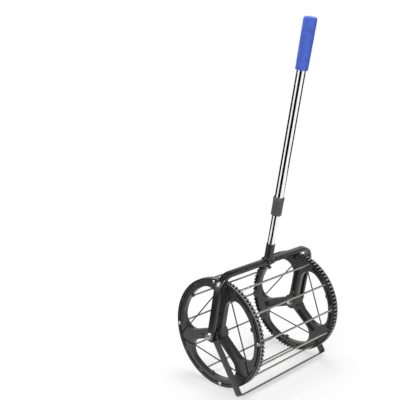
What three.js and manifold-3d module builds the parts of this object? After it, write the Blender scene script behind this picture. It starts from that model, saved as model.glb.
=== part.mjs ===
// Tennis ball roller collector: a drum of steel rods between two moulded wheels, carried by a
// tube yoke with a folding stand and a telescopic pole.
// Lengths are millimetres and angles are degrees. X runs along the axle, the foot of the stand
// is on the -Y side and Z is up. Angles on the drum run from its top towards the foot.
import * as THREE from "three";
import { mergeVertices } from "three/addons/utils/BufferGeometryUtils.js";
import Module from "manifold-3d";

const wasm = await Module();
wasm.setup();
const { degToRad } = THREE.MathUtils;

// Clearances
const seatGap = 0.3;
const fitGap = 0.3;
const cutOverrun = 2;

// Drum
const wheelRadius = 140;
const drumLength = 320;
const drumPhase = 10.25;

// Wheel
const rimWidth = 15;
const rimDepth = 21;
const ribCount = 84;
const ribHeight = 3.5;
const treadLipThickness = 3;
const treadLipRoot = 2;
const ribCrownShare = 0.4;
const ribRootShare = 0.56;
const spokeCount = 3;
const spokeWidth = 24;
const spokeRimFillet = 32;
const spokeHubFillet = 10;
const hubRadius = 20;
const hubOuterStep = 5;
const hubInnerStep = 6;
const spokeHoleDiameter = 7;
const spokeHoleReach = 32;
const spokeHoleDepth = 4;
const spokeChannelWidth = 13;
const spokeChannelDepth = 8;
const spokeChannelHubMargin = 10;
const spokeChannelRimMargin = 19;
const grooveInset = 9;
const grooveWidth = 4.6;
const grooveDepth = 5;
const grooveSpan = 24.5;
const hookStemWidth = 5;
const hookStemLength = 4.5;
const hookHeadWidth = 12;
const hookHeadThickness = 3;
const hookWidth = 7;
const hookSetback = 2;
const hookRootDepth = 3;

// Rods and their screws
const rodCount = 12;
const rodDiameter = 5;
const rodInset = 7.5;
const rodSocketDepth = 8;
const rodsPerTie = 3;
const tieBoreDepth = 12;
const tieShankDiameter = 3;
const tieShankReach = 9;
const tieHeadDiameter = 10;
const tieHeadHeight = 3.6;
const tieHeadRound = 1.6;
const tieKeyAcross = 4;
const tieKeyDepth = 2;

// Retaining cords
const cordDiameter = 3.2;
const cordSink = 4;
const knotDiameter = 6.6;
const knotInset = 14;
const knotOffset = 9.8;
const cordClearance = 0.6;

// Hub stack
const boltDiameter = 8;
const bushDiameter = 14;
const bushFlangeDiameter = 22;
const bushFlangeThickness = 1.5;
const spacerDiameter = 16;
const spacerLength = 5;
const frictionWasherDiameter = 20;
const frictionWasherThickness = 0.8;
const washerDiameter = 17;
const washerThickness = 1.6;
const hexAcross = 13;
const boltHeadHeight = 5.3;
const nutHeight = 8;
const boltTail = 2;

// Yoke
const yokeWidth = 20;
const yokeThickness = 10;
const yokeWall = 1.2;
const yokeCorner = 3;
const yokeBend = 38;
const yokeClearance = 14;
const yokeLean = 10.1;
const armTail = 11.5;
const capLength = 4;
const capRound = 6;
const capPlugLength = 2.6;

// Stand
const stripWidth = 20;
const stripThickness = 3;
const stripBend = 6;
const standEyeDiameter = 24;
const standLean = 33.4;

// Pole
const socketDiameter = 22.4;
const socketLength = 43.5;
const lowerTubeDiameter = 19;
const upperTubeDiameter = 22;
const tubeWall = 1;
const poleReach = 608;
const lowerTubeDrop = 107;
const saddleLength = 25;
const saddleWall = 2.2;
const saddleDrop = 9.5;
const saddleRise = 5;
const socketScrewShank = 3.4;
const socketScrewHead = 7;
const socketScrewHeadHeight = 2.2;
const socketScrewReach = 4;
const guideLength = 8;
const guideStemLength = 18;
const guideStemWall = 1.2;

// Twist lock
const collarRise = 121.5;
const collarLength = 48;
const collarDiameter = 27;
const collarRingDiameter = 28;
const collarRingLength = 9;
const collarBase = 4;
const collarBevel = 2.5;
const colletWall = 1;
const colletGripLength = 13;
const colletSeat = 1;
const colletSlits = 4;
const colletSlitWidth = 1.2;
const colletSlitLength = 11;

// Grip
const gripLength = 122;
const gripTopDiameter = 32.4;
const gripBottomDiameter = 30.4;
const gripRound = 5.5;
const gripFootRound = 2;
const gripCrown = 5;
const gripSeamDrop = 32;
const gripSeamDepth = 0.7;
const gripSeamWidth = 1.6;
const plugHead = 2;
const plugStemLength = 14;

// Facets of round pieces
const smallSides = 8;
const shaftSides = 12;
const ringSides = 16;
const tubeSides = 20;
const bendSteps = 6;
const windowArcSteps = 4;
const grooveSteps = 4;
const lipSteps = 36;

// Finishes
function finish(color, roughness, metalness) {
  return new THREE.MeshStandardMaterial({ color, roughness, metalness });
}
const wheelPlastic = finish(0x1b1b1e, 0.45, 0);
const blackPaint = finish(0x2a2a2d, 0.4, 0.2);
const blackPlastic = finish(0x242426, 0.5, 0);
const chrome = finish(0xc9c9cc, 0.12, 1);
const zinc = finish(0xb9bbbe, 0.3, 1);
const nylon = finish(0x38383a, 0.55, 0);
const elastic = finish(0x131315, 0.9, 0);
const foam = finish(0x3552d0, 0.95, 0);

// Solids from three.js geometries, for joining and cutting
function solid(geometry) {
  const bare = geometry.clone();
  bare.deleteAttribute("normal");
  bare.deleteAttribute("uv");
  const merged = mergeVertices(bare);
  return new wasm.Manifold(
    new wasm.Mesh({
      numProp: 3,
      vertProperties: merged.attributes.position.array,
      triVerts: new Uint32Array(merged.index.array),
    }),
  );
}

function geometryOf(manifold) {
  const { vertProperties, triVerts } = manifold.getMesh();
  const geometry = new THREE.BufferGeometry();
  geometry.setAttribute("position", new THREE.BufferAttribute(vertProperties, 3));
  geometry.setIndex(new THREE.BufferAttribute(triVerts, 1));
  const faceted = geometry.toNonIndexed();
  faceted.computeVertexNormals();
  return faceted;
}

function joined(...geometries) {
  return geometryOf(geometries.map(solid).reduce((whole, piece) => whole.add(piece)));
}

function cut(geometry, ...tools) {
  return geometryOf(tools.map(solid).reduce((left, tool) => left.subtract(tool), solid(geometry)));
}

// A point of the YZ plane, at an angle from the top towards the foot of the stand
function onWheel(radius, angle) {
  const turn = degToRad(angle);
  return new THREE.Vector2(-radius * Math.sin(turn), radius * Math.cos(turn));
}

const acrossDrum = new THREE.Matrix4().makeBasis(
  new THREE.Vector3(0, 1, 0),
  new THREE.Vector3(0, 0, 1),
  new THREE.Vector3(1, 0, 0),
);

// An outline in the YZ plane, thick from one distance out from mid-drum to another
function plate(shape, inner, outer, side, curveSegments = bendSteps) {
  const depth = outer - inner;
  const geometry = new THREE.ExtrudeGeometry(shape, { depth, bevelEnabled: false, curveSegments });
  geometry.applyMatrix4(acrossDrum);
  return geometry.translate(side > 0 ? inner : -outer, 0, 0);
}

// A closed profile of [radius, height] pairs turned about Z
function turned(profile, sides) {
  const points = profile.map(([radius, height]) => new THREE.Vector2(radius, height));
  if (THREE.ShapeUtils.area(points) < 0) points.reverse();
  points.push(points[0].clone());
  return new THREE.LatheGeometry(points, sides).rotateX(Math.PI / 2);
}

// The same about the axle, with each height a distance out from mid-drum
function turnedAcross(profile, side, sides) {
  return turned(profile, sides).rotateY((side * Math.PI) / 2);
}

function discShape(diameter, centre = new THREE.Vector2()) {
  const shape = new THREE.Shape();
  shape.absarc(centre.x, centre.y, diameter / 2, 0, 2 * Math.PI);
  return shape;
}

function hexShape(across) {
  const corner = across / 2 / Math.cos(Math.PI / 6);
  const corners = [0, 1, 2, 3, 4, 5].map((index) => onWheel(corner, index * 60));
  return new THREE.Shape(corners);
}

// A rod, bore or shank about X, between two distances out from mid-drum
function bar(diameter, inner, outer, side, centre, sides = smallSides) {
  const length = outer - inner;
  const geometry = new THREE.CylinderGeometry(diameter / 2, diameter / 2, length, sides);
  geometry.rotateZ(Math.PI / 2);
  return geometry.translate((side * (inner + outer)) / 2, centre.x, centre.y);
}

// A section carried along stations, closed at both ends
function swept(section, stations) {
  const points = stations.flatMap(({ centre, across, out }) =>
    section.map((point) =>
      centre.clone().addScaledVector(across, point.x).addScaledVector(out, point.y),
    ),
  );
  const count = section.length;
  const faces = [];
  for (let ring = 0; ring + 1 < stations.length; ring += 1) {
    for (let side = 0; side < count; side += 1) {
      const a = ring * count + side;
      const b = ring * count + ((side + 1) % count);
      faces.push(a, b, b + count, a, b + count, a + count);
    }
  }
  const last = (stations.length - 1) * count;
  for (const [a, b, c] of THREE.ShapeUtils.triangulateShape(section, [])) {
    faces.push(last + a, last + b, last + c, a, c, b);
  }
  const geometry = new THREE.BufferGeometry().setFromPoints(points);
  geometry.setIndex(faces);
  return geometry.toNonIndexed();
}

function roundedRectangle(width, height, radius, steps) {
  const round = Math.min(radius, width / 2, height / 2);
  const points = [];
  const corners = [
    [1, -1],
    [1, 1],
    [-1, 1],
    [-1, -1],
  ];
  for (const [index, [right, up]] of corners.entries()) {
    const x = right * (width / 2 - round);
    const y = up * (height / 2 - round);
    for (let step = 0; step <= steps; step += 1) {
      const turn = ((index - 1 + step / steps) * Math.PI) / 2;
      points.push(new THREE.Vector2(x + round * Math.cos(turn), y + round * Math.sin(turn)));
    }
  }
  return points;
}

// Distances out from mid-drum, worked out along the hub bolt
const wheelOuter = drumLength / 2;
const wheelInner = wheelOuter - rimWidth;
const hubOuter = wheelOuter + hubOuterStep;
const hubInner = wheelInner - hubInnerStep;
const flangeInner = hubOuter + seatGap;
const flangeOuter = flangeInner + bushFlangeThickness;
const spacerInner = flangeOuter + seatGap;
const spacerOuter = spacerInner + spacerLength;
const stripInner = spacerOuter + seatGap;
const stripOuter = stripInner + stripThickness;
const frictionInner = stripOuter + seatGap;
const frictionOuter = frictionInner + frictionWasherThickness;
const armInner = frictionOuter + seatGap;
const armOuter = armInner + yokeThickness;
const washerInner = armOuter + seatGap;
const washerOuter = washerInner + washerThickness;
const headInner = washerOuter + seatGap;
const bushInner = hubInner - seatGap;
const innerWasherOuter = bushInner - seatGap;
const innerWasherInner = innerWasherOuter - washerThickness;
const nutOuter = innerWasherInner - seatGap;
const nutInner = nutOuter - nutHeight;
const boltHole = boltDiameter + 2 * fitGap;
const windowRadius = wheelRadius - rimDepth;
const rodCircleRadius = wheelRadius - rodInset;
const grooveRadius = wheelRadius - grooveInset;
const knotRadius = wheelRadius - knotInset;
const yokeHeight = wheelRadius + yokeClearance + yokeThickness / 2;
const sectorAngle = 360 / spokeCount;
const rodPitchAngle = 360 / rodCount;
const sides = [
  { side: -1, name: "left" },
  { side: 1, name: "right" },
];

// Wheel, whose ribs end at a smooth lip round the outer face
const ribPitch = 360 / ribCount;
const crownHalf = (ribPitch * ribCrownShare) / 2;
const crownRadius = wheelRadius / Math.cos(degToRad(crownHalf));
const rootRadius = wheelRadius - ribHeight;

function treadOutline() {
  const rootHalf = (ribPitch * ribRootShare) / 2;
  const points = [];
  for (let rib = 0; rib < ribCount; rib += 1) {
    const middle = rib * ribPitch;
    points.push(onWheel(rootRadius, middle - rootHalf), onWheel(crownRadius, middle - crownHalf));
    points.push(onWheel(crownRadius, middle + crownHalf), onWheel(rootRadius, middle + rootHalf));
  }
  return points;
}

function lipShape() {
  const corners = [];
  for (let rib = 0; rib < ribCount; rib += 1) {
    const middle = rib * ribPitch;
    corners.push(onWheel(crownRadius, middle - crownHalf), onWheel(crownRadius, middle + crownHalf));
  }
  const shape = new THREE.Shape(corners);
  shape.holes.push(discShape(2 * (rootRadius - treadLipRoot)));
  return shape;
}

// Half of a window's outline, as radius and angle from the middle of the spoke beside it
function windowHalf() {
  const half = spokeWidth / 2;
  const points = [];
  const add = (x, y) => points.push([Math.hypot(x, y), THREE.MathUtils.radToDeg(Math.atan2(y, x))]);
  const hubY = half + spokeHubFillet;
  const hubX = Math.sqrt((hubRadius + spokeHubFillet) ** 2 - hubY ** 2);
  const hubTurn = Math.atan2(hubY, hubX) - Math.PI;
  for (let step = 0; step <= windowArcSteps; step += 1) {
    const turn = hubTurn + (step / windowArcSteps) * (-Math.PI / 2 - hubTurn);
    add(hubX + spokeHubFillet * Math.cos(turn), hubY + spokeHubFillet * Math.sin(turn));
  }
  const rimY = half + spokeRimFillet;
  const rimX = Math.sqrt((windowRadius - spokeRimFillet) ** 2 - rimY ** 2);
  const rimTurn = Math.atan2(rimY, rimX);
  for (let step = 0; step <= windowArcSteps; step += 1) {
    const turn = -Math.PI / 2 + (step / windowArcSteps) * (rimTurn + Math.PI / 2);
    add(rimX + spokeRimFillet * Math.cos(turn), rimY + spokeRimFillet * Math.sin(turn));
  }
  const rimAngle = THREE.MathUtils.radToDeg(rimTurn);
  for (let step = 1; step <= windowArcSteps; step += 1) {
    const angle = rimAngle + (step / windowArcSteps) * (sectorAngle / 2 - rimAngle);
    points.push([windowRadius, angle]);
  }
  return points;
}

function windowOutline(spokeAngle) {
  const half = windowHalf();
  const start = half.map(([radius, angle]) => onWheel(radius, spokeAngle + angle));
  const mirrored = half.slice(0, -1).reverse();
  const end = mirrored.map(([radius, angle]) => onWheel(radius, spokeAngle + sectorAngle - angle));
  return [...start, ...end];
}

function spokeAngles() {
  return Array.from({ length: spokeCount }, (_, index) => drumPhase + index * sectorAngle);
}

function arcBand(radius, width, middle, span) {
  const outer = [];
  const inner = [];
  for (let step = 0; step <= grooveSteps; step += 1) {
    const angle = middle + (step / grooveSteps - 0.5) * span;
    outer.push(onWheel(radius + width / 2, angle));
    inner.unshift(onWheel(radius - width / 2, angle));
  }
  return new THREE.Shape([...outer, ...inner]);
}

// A straight band between two points of the YZ plane
function straightBand(from, to, width) {
  const along = to.clone().sub(from).normalize();
  const aside = new THREE.Vector2(-along.y, along.x).multiplyScalar(width / 2);
  const corners = [
    from.clone().add(aside),
    from.clone().sub(aside),
    to.clone().sub(aside),
    to.clone().add(aside),
  ];
  return new THREE.Shape(corners);
}

function knotEnds(windowMiddle) {
  const inset = THREE.MathUtils.radToDeg(Math.asin(knotOffset / knotRadius));
  const half = sectorAngle / 2 - inset;
  return [onWheel(knotRadius, windowMiddle - half), onWheel(knotRadius, windowMiddle + half)];
}

function hookShape(windowMiddle) {
  const along = onWheel(1, windowMiddle);
  const aside = new THREE.Vector2(-along.y, along.x);
  const at = (radius, offset) =>
    along.clone().multiplyScalar(radius).addScaledVector(aside, offset);
  const stem = hookStemWidth / 2;
  const head = hookHeadWidth / 2;
  const neck = windowRadius - hookStemLength;
  const tip = neck - hookHeadThickness;
  const root = windowRadius + hookRootDepth;
  return new THREE.Shape([
    at(root, -stem),
    at(neck, -stem),
    at(neck, -head),
    at(tip, -stem),
    at(tip, stem),
    at(neck, head),
    at(neck, stem),
    at(root, stem),
  ]);
}

function wheelBody(side) {
  const outline = new THREE.Shape(treadOutline());
  for (const angle of spokeAngles()) outline.holes.push(new THREE.Path(windowOutline(angle)));
  const hub = discShape(2 * hubRadius);
  const hooks = spokeAngles().map((angle) => {
    const shape = hookShape(angle + sectorAngle / 2);
    const outer = wheelOuter - hookSetback;
    return plate(shape, outer - hookWidth, outer, side);
  });
  return joined(
    plate(outline, wheelInner, wheelOuter, side),
    plate(lipShape(), wheelOuter - treadLipThickness, wheelOuter, side, lipSteps),
    plate(hub, hubInner, hubOuter, side),
    ...hooks,
  );
}

function wheelCuts(side) {
  const face = wheelOuter + cutOverrun;
  const back = wheelInner - cutOverrun;
  const tools = [];
  const bushBore = discShape(bushDiameter + 2 * fitGap);
  tools.push(plate(bushBore, hubInner - cutOverrun, hubOuter + cutOverrun, side));
  for (const angle of spokeAngles()) {
    const hole = discShape(spokeHoleDiameter, onWheel(hubRadius + spokeHoleReach, angle));
    tools.push(plate(hole, wheelOuter - spokeHoleDepth, face, side, grooveSteps));
    const from = onWheel(hubRadius + spokeChannelHubMargin, angle);
    const to = onWheel(windowRadius - spokeChannelRimMargin, angle);
    const channel = straightBand(from, to, spokeChannelWidth);
    tools.push(plate(channel, back, wheelInner + spokeChannelDepth, side));
    const knots = knotEnds(angle + sectorAngle / 2);
    const cordLine = wheelOuter - cordSink;
    const slot = straightBand(knots[0], knots[1], cordDiameter + 2 * cordClearance);
    tools.push(plate(slot, cordLine - cordDiameter / 2 - cordClearance, face, side));
    for (const knot of knots) {
      const pocket = discShape(knotDiameter + 2 * cordClearance, knot);
      const floor = cordLine - knotDiameter / 2 - cordClearance;
      tools.push(plate(pocket, floor, face, side, grooveSteps));
    }
  }
  for (let rod = 0; rod < rodCount; rod += 1) {
    const angle = rodAngle(rod);
    const centre = onWheel(rodCircleRadius, angle);
    const socket = rodDiameter + 2 * fitGap;
    tools.push(bar(socket, back, wheelInner + rodSocketDepth, side, centre));
    const middle = angle + rodPitchAngle / 2;
    const groove = arcBand(grooveRadius, grooveWidth, middle, grooveSpan);
    tools.push(plate(groove, wheelOuter - grooveDepth, face, side));
    if (isTie(rod)) tools.push(bar(tieShankDiameter + 2 * fitGap, wheelInner, face, side, centre));
  }
  return tools;
}

function wheelGeometry(side) {
  return cut(wheelBody(side), ...wheelCuts(side));
}

// Rods, four of them tapped for the screws that hold the drum together
function rodAngle(rod) {
  return drumPhase - rodPitchAngle / 2 + rod * rodPitchAngle;
}

function isTie(rod) {
  return rod % rodsPerTie === 0;
}

function rodGeometry(rod) {
  const centre = onWheel(rodCircleRadius, rodAngle(rod));
  const end = wheelInner + rodSocketDepth - seatGap;
  const steel = bar(rodDiameter, -end, end, 1, centre, shaftSides);
  if (!isTie(rod)) return steel;
  const bore = tieShankDiameter + fitGap;
  const bores = sides.map(({ side }) =>
    bar(bore, end - tieBoreDepth, end + cutOverrun, side, centre),
  );
  return cut(steel, ...bores);
}

function tieScrewGeometry(rod, side) {
  const centre = onWheel(rodCircleRadius, rodAngle(rod));
  const seat = wheelOuter + seatGap;
  const top = seat + tieHeadHeight;
  const tip = wheelInner + rodSocketDepth - tieShankReach;
  const shank = (tieShankDiameter - fitGap) / 2;
  const profile = [
    [0, tip],
    [shank, tip],
    [shank, seat],
    [tieHeadDiameter / 2, seat],
    [tieHeadDiameter / 2, top - tieHeadRound],
    [tieHeadDiameter / 2 - tieHeadRound, top],
    [0, top],
  ];
  const screw = turnedAcross(profile, side, shaftSides);
  const key = plate(hexShape(tieKeyAcross), top - tieKeyDepth, top + cutOverrun, side);
  return cut(screw, key).translate(0, centre.x, centre.y);
}

// Retaining cords, each one straight from knot to knot across a window
function cordGeometry(windowMiddle, side) {
  const [from, to] = knotEnds(windowMiddle);
  const reach = from.distanceTo(to);
  const knot = knotDiameter / 2;
  const thin = cordDiameter / 2;
  const shoulder = Math.sqrt(knot ** 2 - thin ** 2);
  const profile = [
    [0, -knot],
    [shoulder, -thin],
    [knot, 0],
    [thin, shoulder],
    [thin, reach - shoulder],
    [knot, reach],
    [shoulder, reach + thin],
    [0, reach + knot],
  ];
  const geometry = turned(profile, smallSides);
  const along = new THREE.Vector3(0, to.x - from.x, to.y - from.y).normalize();
  const up = new THREE.Vector3(0, 0, 1);
  geometry.applyQuaternion(new THREE.Quaternion().setFromUnitVectors(up, along));
  return geometry.translate(side * (wheelOuter - cordSink), from.x, from.y);
}

// Hub stack
function bushGeometry(side) {
  const bore = boltHole / 2;
  const barrel = bushDiameter / 2;
  const flange = bushFlangeDiameter / 2;
  const profile = [
    [bore, bushInner],
    [barrel, bushInner],
    [barrel, flangeInner],
    [flange, flangeInner],
    [flange, flangeOuter],
    [bore, flangeOuter],
  ];
  return turnedAcross(profile, side, ringSides);
}

function ringGeometry(diameter, inner, outer, side) {
  const bore = boltHole / 2;
  const edge = diameter / 2;
  const profile = [
    [bore, inner],
    [edge, inner],
    [edge, outer],
    [bore, outer],
  ];
  return turnedAcross(profile, side, ringSides);
}

function hubBoltGeometry(side) {
  const shank = bar(boltDiameter, nutInner - boltTail, headInner + boltHeadHeight / 2, side,
    new THREE.Vector2(), shaftSides);
  const head = plate(hexShape(hexAcross), headInner, headInner + boltHeadHeight, side);
  return joined(head, shank);
}

function hubNutGeometry(side) {
  const shape = hexShape(hexAcross);
  shape.holes.push(discShape(boltHole));
  return plate(shape, nutInner, nutOuter, side);
}

// Yoke, drawn upright over the axle
function bentStations(halfSpan, height, bend, tail, overrun) {
  const across = new THREE.Vector3(0, 1, 0);
  const stations = [];
  const addStation = (x, z, outX, outZ) => {
    const centre = new THREE.Vector3(x, 0, z);
    stations.push({ centre, across, out: new THREE.Vector3(outX, 0, outZ) });
  };
  addStation(-halfSpan, -tail - overrun, -1, 0);
  for (const side of [-1, 1]) {
    for (let step = 0; step <= bendSteps; step += 1) {
      const share = side < 0 ? step / bendSteps : 1 - step / bendSteps;
      const turn = (share * Math.PI) / 2;
      const outX = side * Math.cos(turn);
      const outZ = Math.sin(turn);
      const x = side * (halfSpan - bend) + bend * outX;
      addStation(x, height - bend + bend * outZ, outX, outZ);
    }
  }
  addStation(halfSpan, -tail - overrun, 1, 0);
  return stations;
}

const armMiddle = (armInner + armOuter) / 2;

function yokeGeometry() {
  const outer = roundedRectangle(yokeWidth, yokeThickness, yokeCorner, 2);
  const inner = roundedRectangle(
    yokeWidth - 2 * yokeWall,
    yokeThickness - 2 * yokeWall,
    yokeCorner - yokeWall,
    1,
  );
  const tube = swept(outer, bentStations(armMiddle, yokeHeight, yokeBend, armTail, 0));
  const hollow = swept(inner, bentStations(armMiddle, yokeHeight, yokeBend, armTail, cutOverrun));
  const holes = sides.map(({ side }) =>
    bar(boltHole, armInner - cutOverrun, armOuter + cutOverrun, side,
      new THREE.Vector2(), shaftSides),
  );
  return cut(tube, hollow, saddleHole(), ...holes);
}

function armCapGeometry(side) {
  const top = -armTail - seatGap;
  const half = yokeWidth / 2;
  const round = Math.min(capRound, capLength, half);
  const shape = new THREE.Shape();
  shape.moveTo(-half, top);
  shape.lineTo(-half, top - capLength + round);
  shape.absarc(-half + round, top - capLength + round, round, Math.PI, 1.5 * Math.PI);
  shape.absarc(half - round, top - capLength + round, round, -Math.PI / 2, 0);
  shape.lineTo(half, top);
  const inset = yokeWall + fitGap;
  const plug = new THREE.BoxGeometry(
    yokeThickness - 2 * inset,
    yokeWidth - 2 * inset - 2 * (yokeCorner - yokeWall),
    capPlugLength + capLength / 2,
  );
  plug.translate(side * armMiddle, 0, top + capPlugLength / 2 - capLength / 4);
  return joined(plate(shape, armInner, armOuter, side, grooveSteps), plug);
}

// Stand, drawn with its legs straight down from the axle
const standMiddle = (stripInner + stripOuter) / 2;
const standDrop =
  (wheelRadius - (stripWidth / 2) * Math.sin(degToRad(standLean))) /
    Math.cos(degToRad(standLean)) -
  stripThickness / 2;

function standGeometry() {
  const half = stripWidth / 2;
  const section = [
    new THREE.Vector2(-half, -stripThickness / 2),
    new THREE.Vector2(half, -stripThickness / 2),
    new THREE.Vector2(half, stripThickness / 2),
    new THREE.Vector2(-half, stripThickness / 2),
  ];
  const strip = swept(section, bentStations(standMiddle, standDrop, stripBend, 0, 0));
  strip.rotateX(Math.PI);
  const eyes = sides.map(({ side }) =>
    plate(discShape(standEyeDiameter), stripInner, stripOuter, side, ringSides),
  );
  const holes = sides.map(({ side }) =>
    bar(boltHole, stripInner - cutOverrun, stripOuter + cutOverrun, side,
      new THREE.Vector2(), shaftSides),
  );
  return cut(joined(strip, ...eyes), ...holes);
}

// Pole, drawn upright over the axle in line with the yoke
const barTop = yokeHeight + yokeThickness / 2;
const saddleSeat = barTop + seatGap;
const saddleTop = saddleSeat + saddleWall;
const saddleInside = yokeWidth + 2 * fitGap;
const saddleOutside = saddleInside + 2 * saddleWall;
const socketTop = barTop + socketLength;
const collarBottom = barTop + collarRise;
const poleTop = barTop + poleReach;
const lowerTubeTop = poleTop - lowerTubeDrop;
const lowerTubeBottom = saddleTop + seatGap;
const upperBore = upperTubeDiameter - 2 * tubeWall;
const colletBottom = collarBottom + collarBase + seatGap;
const upperTubeBottom = colletBottom + colletGripLength + seatGap;
const collarTop = collarBottom + collarLength;
const upperTubeTop = poleTop - gripCrown - plugHead - 2 * seatGap;
const gripBottom = poleTop - gripLength;
const colletOuter = upperTubeDiameter + 2 * fitGap + 2 * colletWall;

function sleeveGeometry(outer, inner, bottom, top) {
  const profile = [
    [inner / 2, bottom],
    [outer / 2, bottom],
    [outer / 2, top],
    [inner / 2, top],
  ];
  return turned(profile, tubeSides);
}

// A screw or its hole, through the back of the saddle and the wall of the bar behind it
function backBar(diameter, inner, outer) {
  const geometry = new THREE.CylinderGeometry(diameter / 2, diameter / 2, outer - inner, smallSides);
  return geometry.translate(0, (inner + outer) / 2, yokeHeight);
}

function saddleHole() {
  const reach = saddleOutside / 2 + cutOverrun;
  return backBar(socketScrewShank + 2 * fitGap, 0, reach);
}

// The sleeve stands on a saddle that clasps the front and the back of the bar
function socketGeometry() {
  const half = saddleOutside / 2;
  const seat = saddleInside / 2;
  const foot = barTop - saddleDrop;
  const shape = new THREE.Shape();
  shape.moveTo(-half, foot);
  shape.lineTo(-seat, foot);
  shape.lineTo(-seat, saddleSeat);
  shape.lineTo(seat, saddleSeat);
  shape.lineTo(seat, foot);
  shape.lineTo(half, foot);
  shape.lineTo(half, saddleTop);
  shape.lineTo(socketDiameter / 2, saddleTop + saddleRise);
  shape.lineTo(-socketDiameter / 2, saddleTop + saddleRise);
  shape.lineTo(-half, saddleTop);
  const bore = lowerTubeDiameter + 2 * fitGap;
  const shoulder = saddleTop + saddleRise;
  const sleeve = sleeveGeometry(socketDiameter, bore, shoulder - saddleWall, socketTop);
  const saddle = plate(shape, -saddleLength / 2, saddleLength / 2, 1);
  const tubeBore = sleeveGeometry(bore, 0, saddleTop, socketTop + cutOverrun);
  return cut(joined(saddle, sleeve), tubeBore, saddleHole());
}

function lowerTubeGeometry() {
  const bore = lowerTubeDiameter - 2 * tubeWall;
  return sleeveGeometry(lowerTubeDiameter, bore, lowerTubeBottom, lowerTubeTop);
}

function socketScrewGeometry() {
  const surface = saddleOutside / 2 + seatGap;
  const top = surface + socketScrewHeadHeight;
  const tip = yokeWidth / 2 - socketScrewReach;
  const shank = backBar(socketScrewShank, tip, top - socketScrewHeadHeight / 2);
  const head = backBar(socketScrewHead, surface, top);
  return joined(head, shank);
}

function guideGeometry() {
  const stem = lowerTubeDiameter / 2 - tubeWall - fitGap;
  const head = upperBore / 2 - fitGap;
  const bottom = lowerTubeTop + seatGap;
  const profile = [
    [stem - guideStemWall, bottom - guideStemLength],
    [stem, bottom - guideStemLength],
    [stem, bottom],
    [head, bottom],
    [head, bottom + guideLength],
    [stem - guideStemWall, bottom + guideLength],
  ];
  return turned(profile, tubeSides);
}

function upperTubeGeometry() {
  return sleeveGeometry(upperTubeDiameter, upperBore, upperTubeBottom, upperTubeTop);
}

function colletGeometry() {
  const grip = lowerTubeDiameter / 2 + fitGap;
  const seat = upperTubeDiameter / 2 + fitGap;
  const top = collarTop - colletSeat;
  const step = upperTubeBottom - seatGap;
  const profile = [
    [grip, colletBottom],
    [colletOuter / 2, colletBottom],
    [colletOuter / 2, top],
    [seat, top],
    [seat, step],
    [grip, step],
  ];
  const collet = turned(profile, tubeSides);
  const slits = [];
  for (let slit = 0; slit < colletSlits / 2; slit += 1) {
    const height = colletSlitLength + cutOverrun;
    const box = new THREE.BoxGeometry(colletOuter + cutOverrun, colletSlitWidth, height);
    box.rotateZ((slit * 2 * Math.PI) / colletSlits);
    slits.push(box.translate(0, 0, colletBottom - cutOverrun + height / 2));
  }
  return cut(collet, ...slits);
}

function collarGeometry() {
  const mouth = lowerTubeDiameter / 2 + 2 * fitGap;
  const bore = colletOuter / 2 + fitGap;
  const body = collarDiameter / 2;
  const ring = collarRingDiameter / 2;
  const profile = [
    [mouth, collarBottom],
    [body - collarBevel, collarBottom],
    [body, collarBottom + collarBevel],
    [body, collarTop - collarRingLength],
    [ring, collarTop - collarRingLength],
    [ring, collarTop],
    [bore, collarTop],
    [bore, collarBottom + collarBase],
    [mouth, collarBottom + collarBase],
  ];
  return turned(profile, tubeSides);
}

function gripPlugGeometry() {
  const stem = upperBore / 2 - fitGap;
  const top = upperTubeTop + seatGap + plugHead;
  const profile = [
    [0, upperTubeTop - plugStemLength],
    [stem, upperTubeTop - plugStemLength],
    [stem, upperTubeTop + seatGap],
    [upperTubeDiameter / 2, upperTubeTop + seatGap],
    [upperTubeDiameter / 2, top],
    [0, top],
  ];
  return turned(profile, tubeSides);
}

function gripGeometry() {
  const bore = upperTubeDiameter / 2 + fitGap;
  const top = gripTopDiameter / 2;
  const foot = gripBottomDiameter / 2;
  const seam = poleTop - gripSeamDrop;
  const edge = [];
  for (let step = 0; step <= bendSteps; step += 1) {
    const turn = (step / bendSteps) * (Math.PI / 2);
    const radius = top - gripRound + gripRound * Math.cos(turn);
    edge.push([radius, poleTop - gripRound + gripRound * Math.sin(turn)]);
  }
  const profile = [
    [bore, gripBottom],
    [foot - gripFootRound, gripBottom],
    [foot, gripBottom + gripFootRound],
    [top, seam - gripSeamWidth],
    [top - gripSeamDepth, seam],
    [top, seam + gripSeamWidth],
    ...edge,
    [0, poleTop],
    [0, poleTop - gripCrown + seatGap],
    [bore, poleTop - gripCrown + seatGap],
  ];
  return turned(profile, tubeSides);
}

// Assembly
const collector = new THREE.Group();
const axle = new THREE.Group();
const handle = new THREE.Group();
const stand = new THREE.Group();
axle.position.z = wheelRadius;
handle.rotation.x = degToRad(yokeLean);
stand.rotation.x = -degToRad(standLean);
axle.add(handle, stand);
collector.add(axle);

function addMesh(group, name, geometry, material) {
  const mesh = new THREE.Mesh(geometry, material);
  mesh.name = name;
  group.add(mesh);
}

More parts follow.
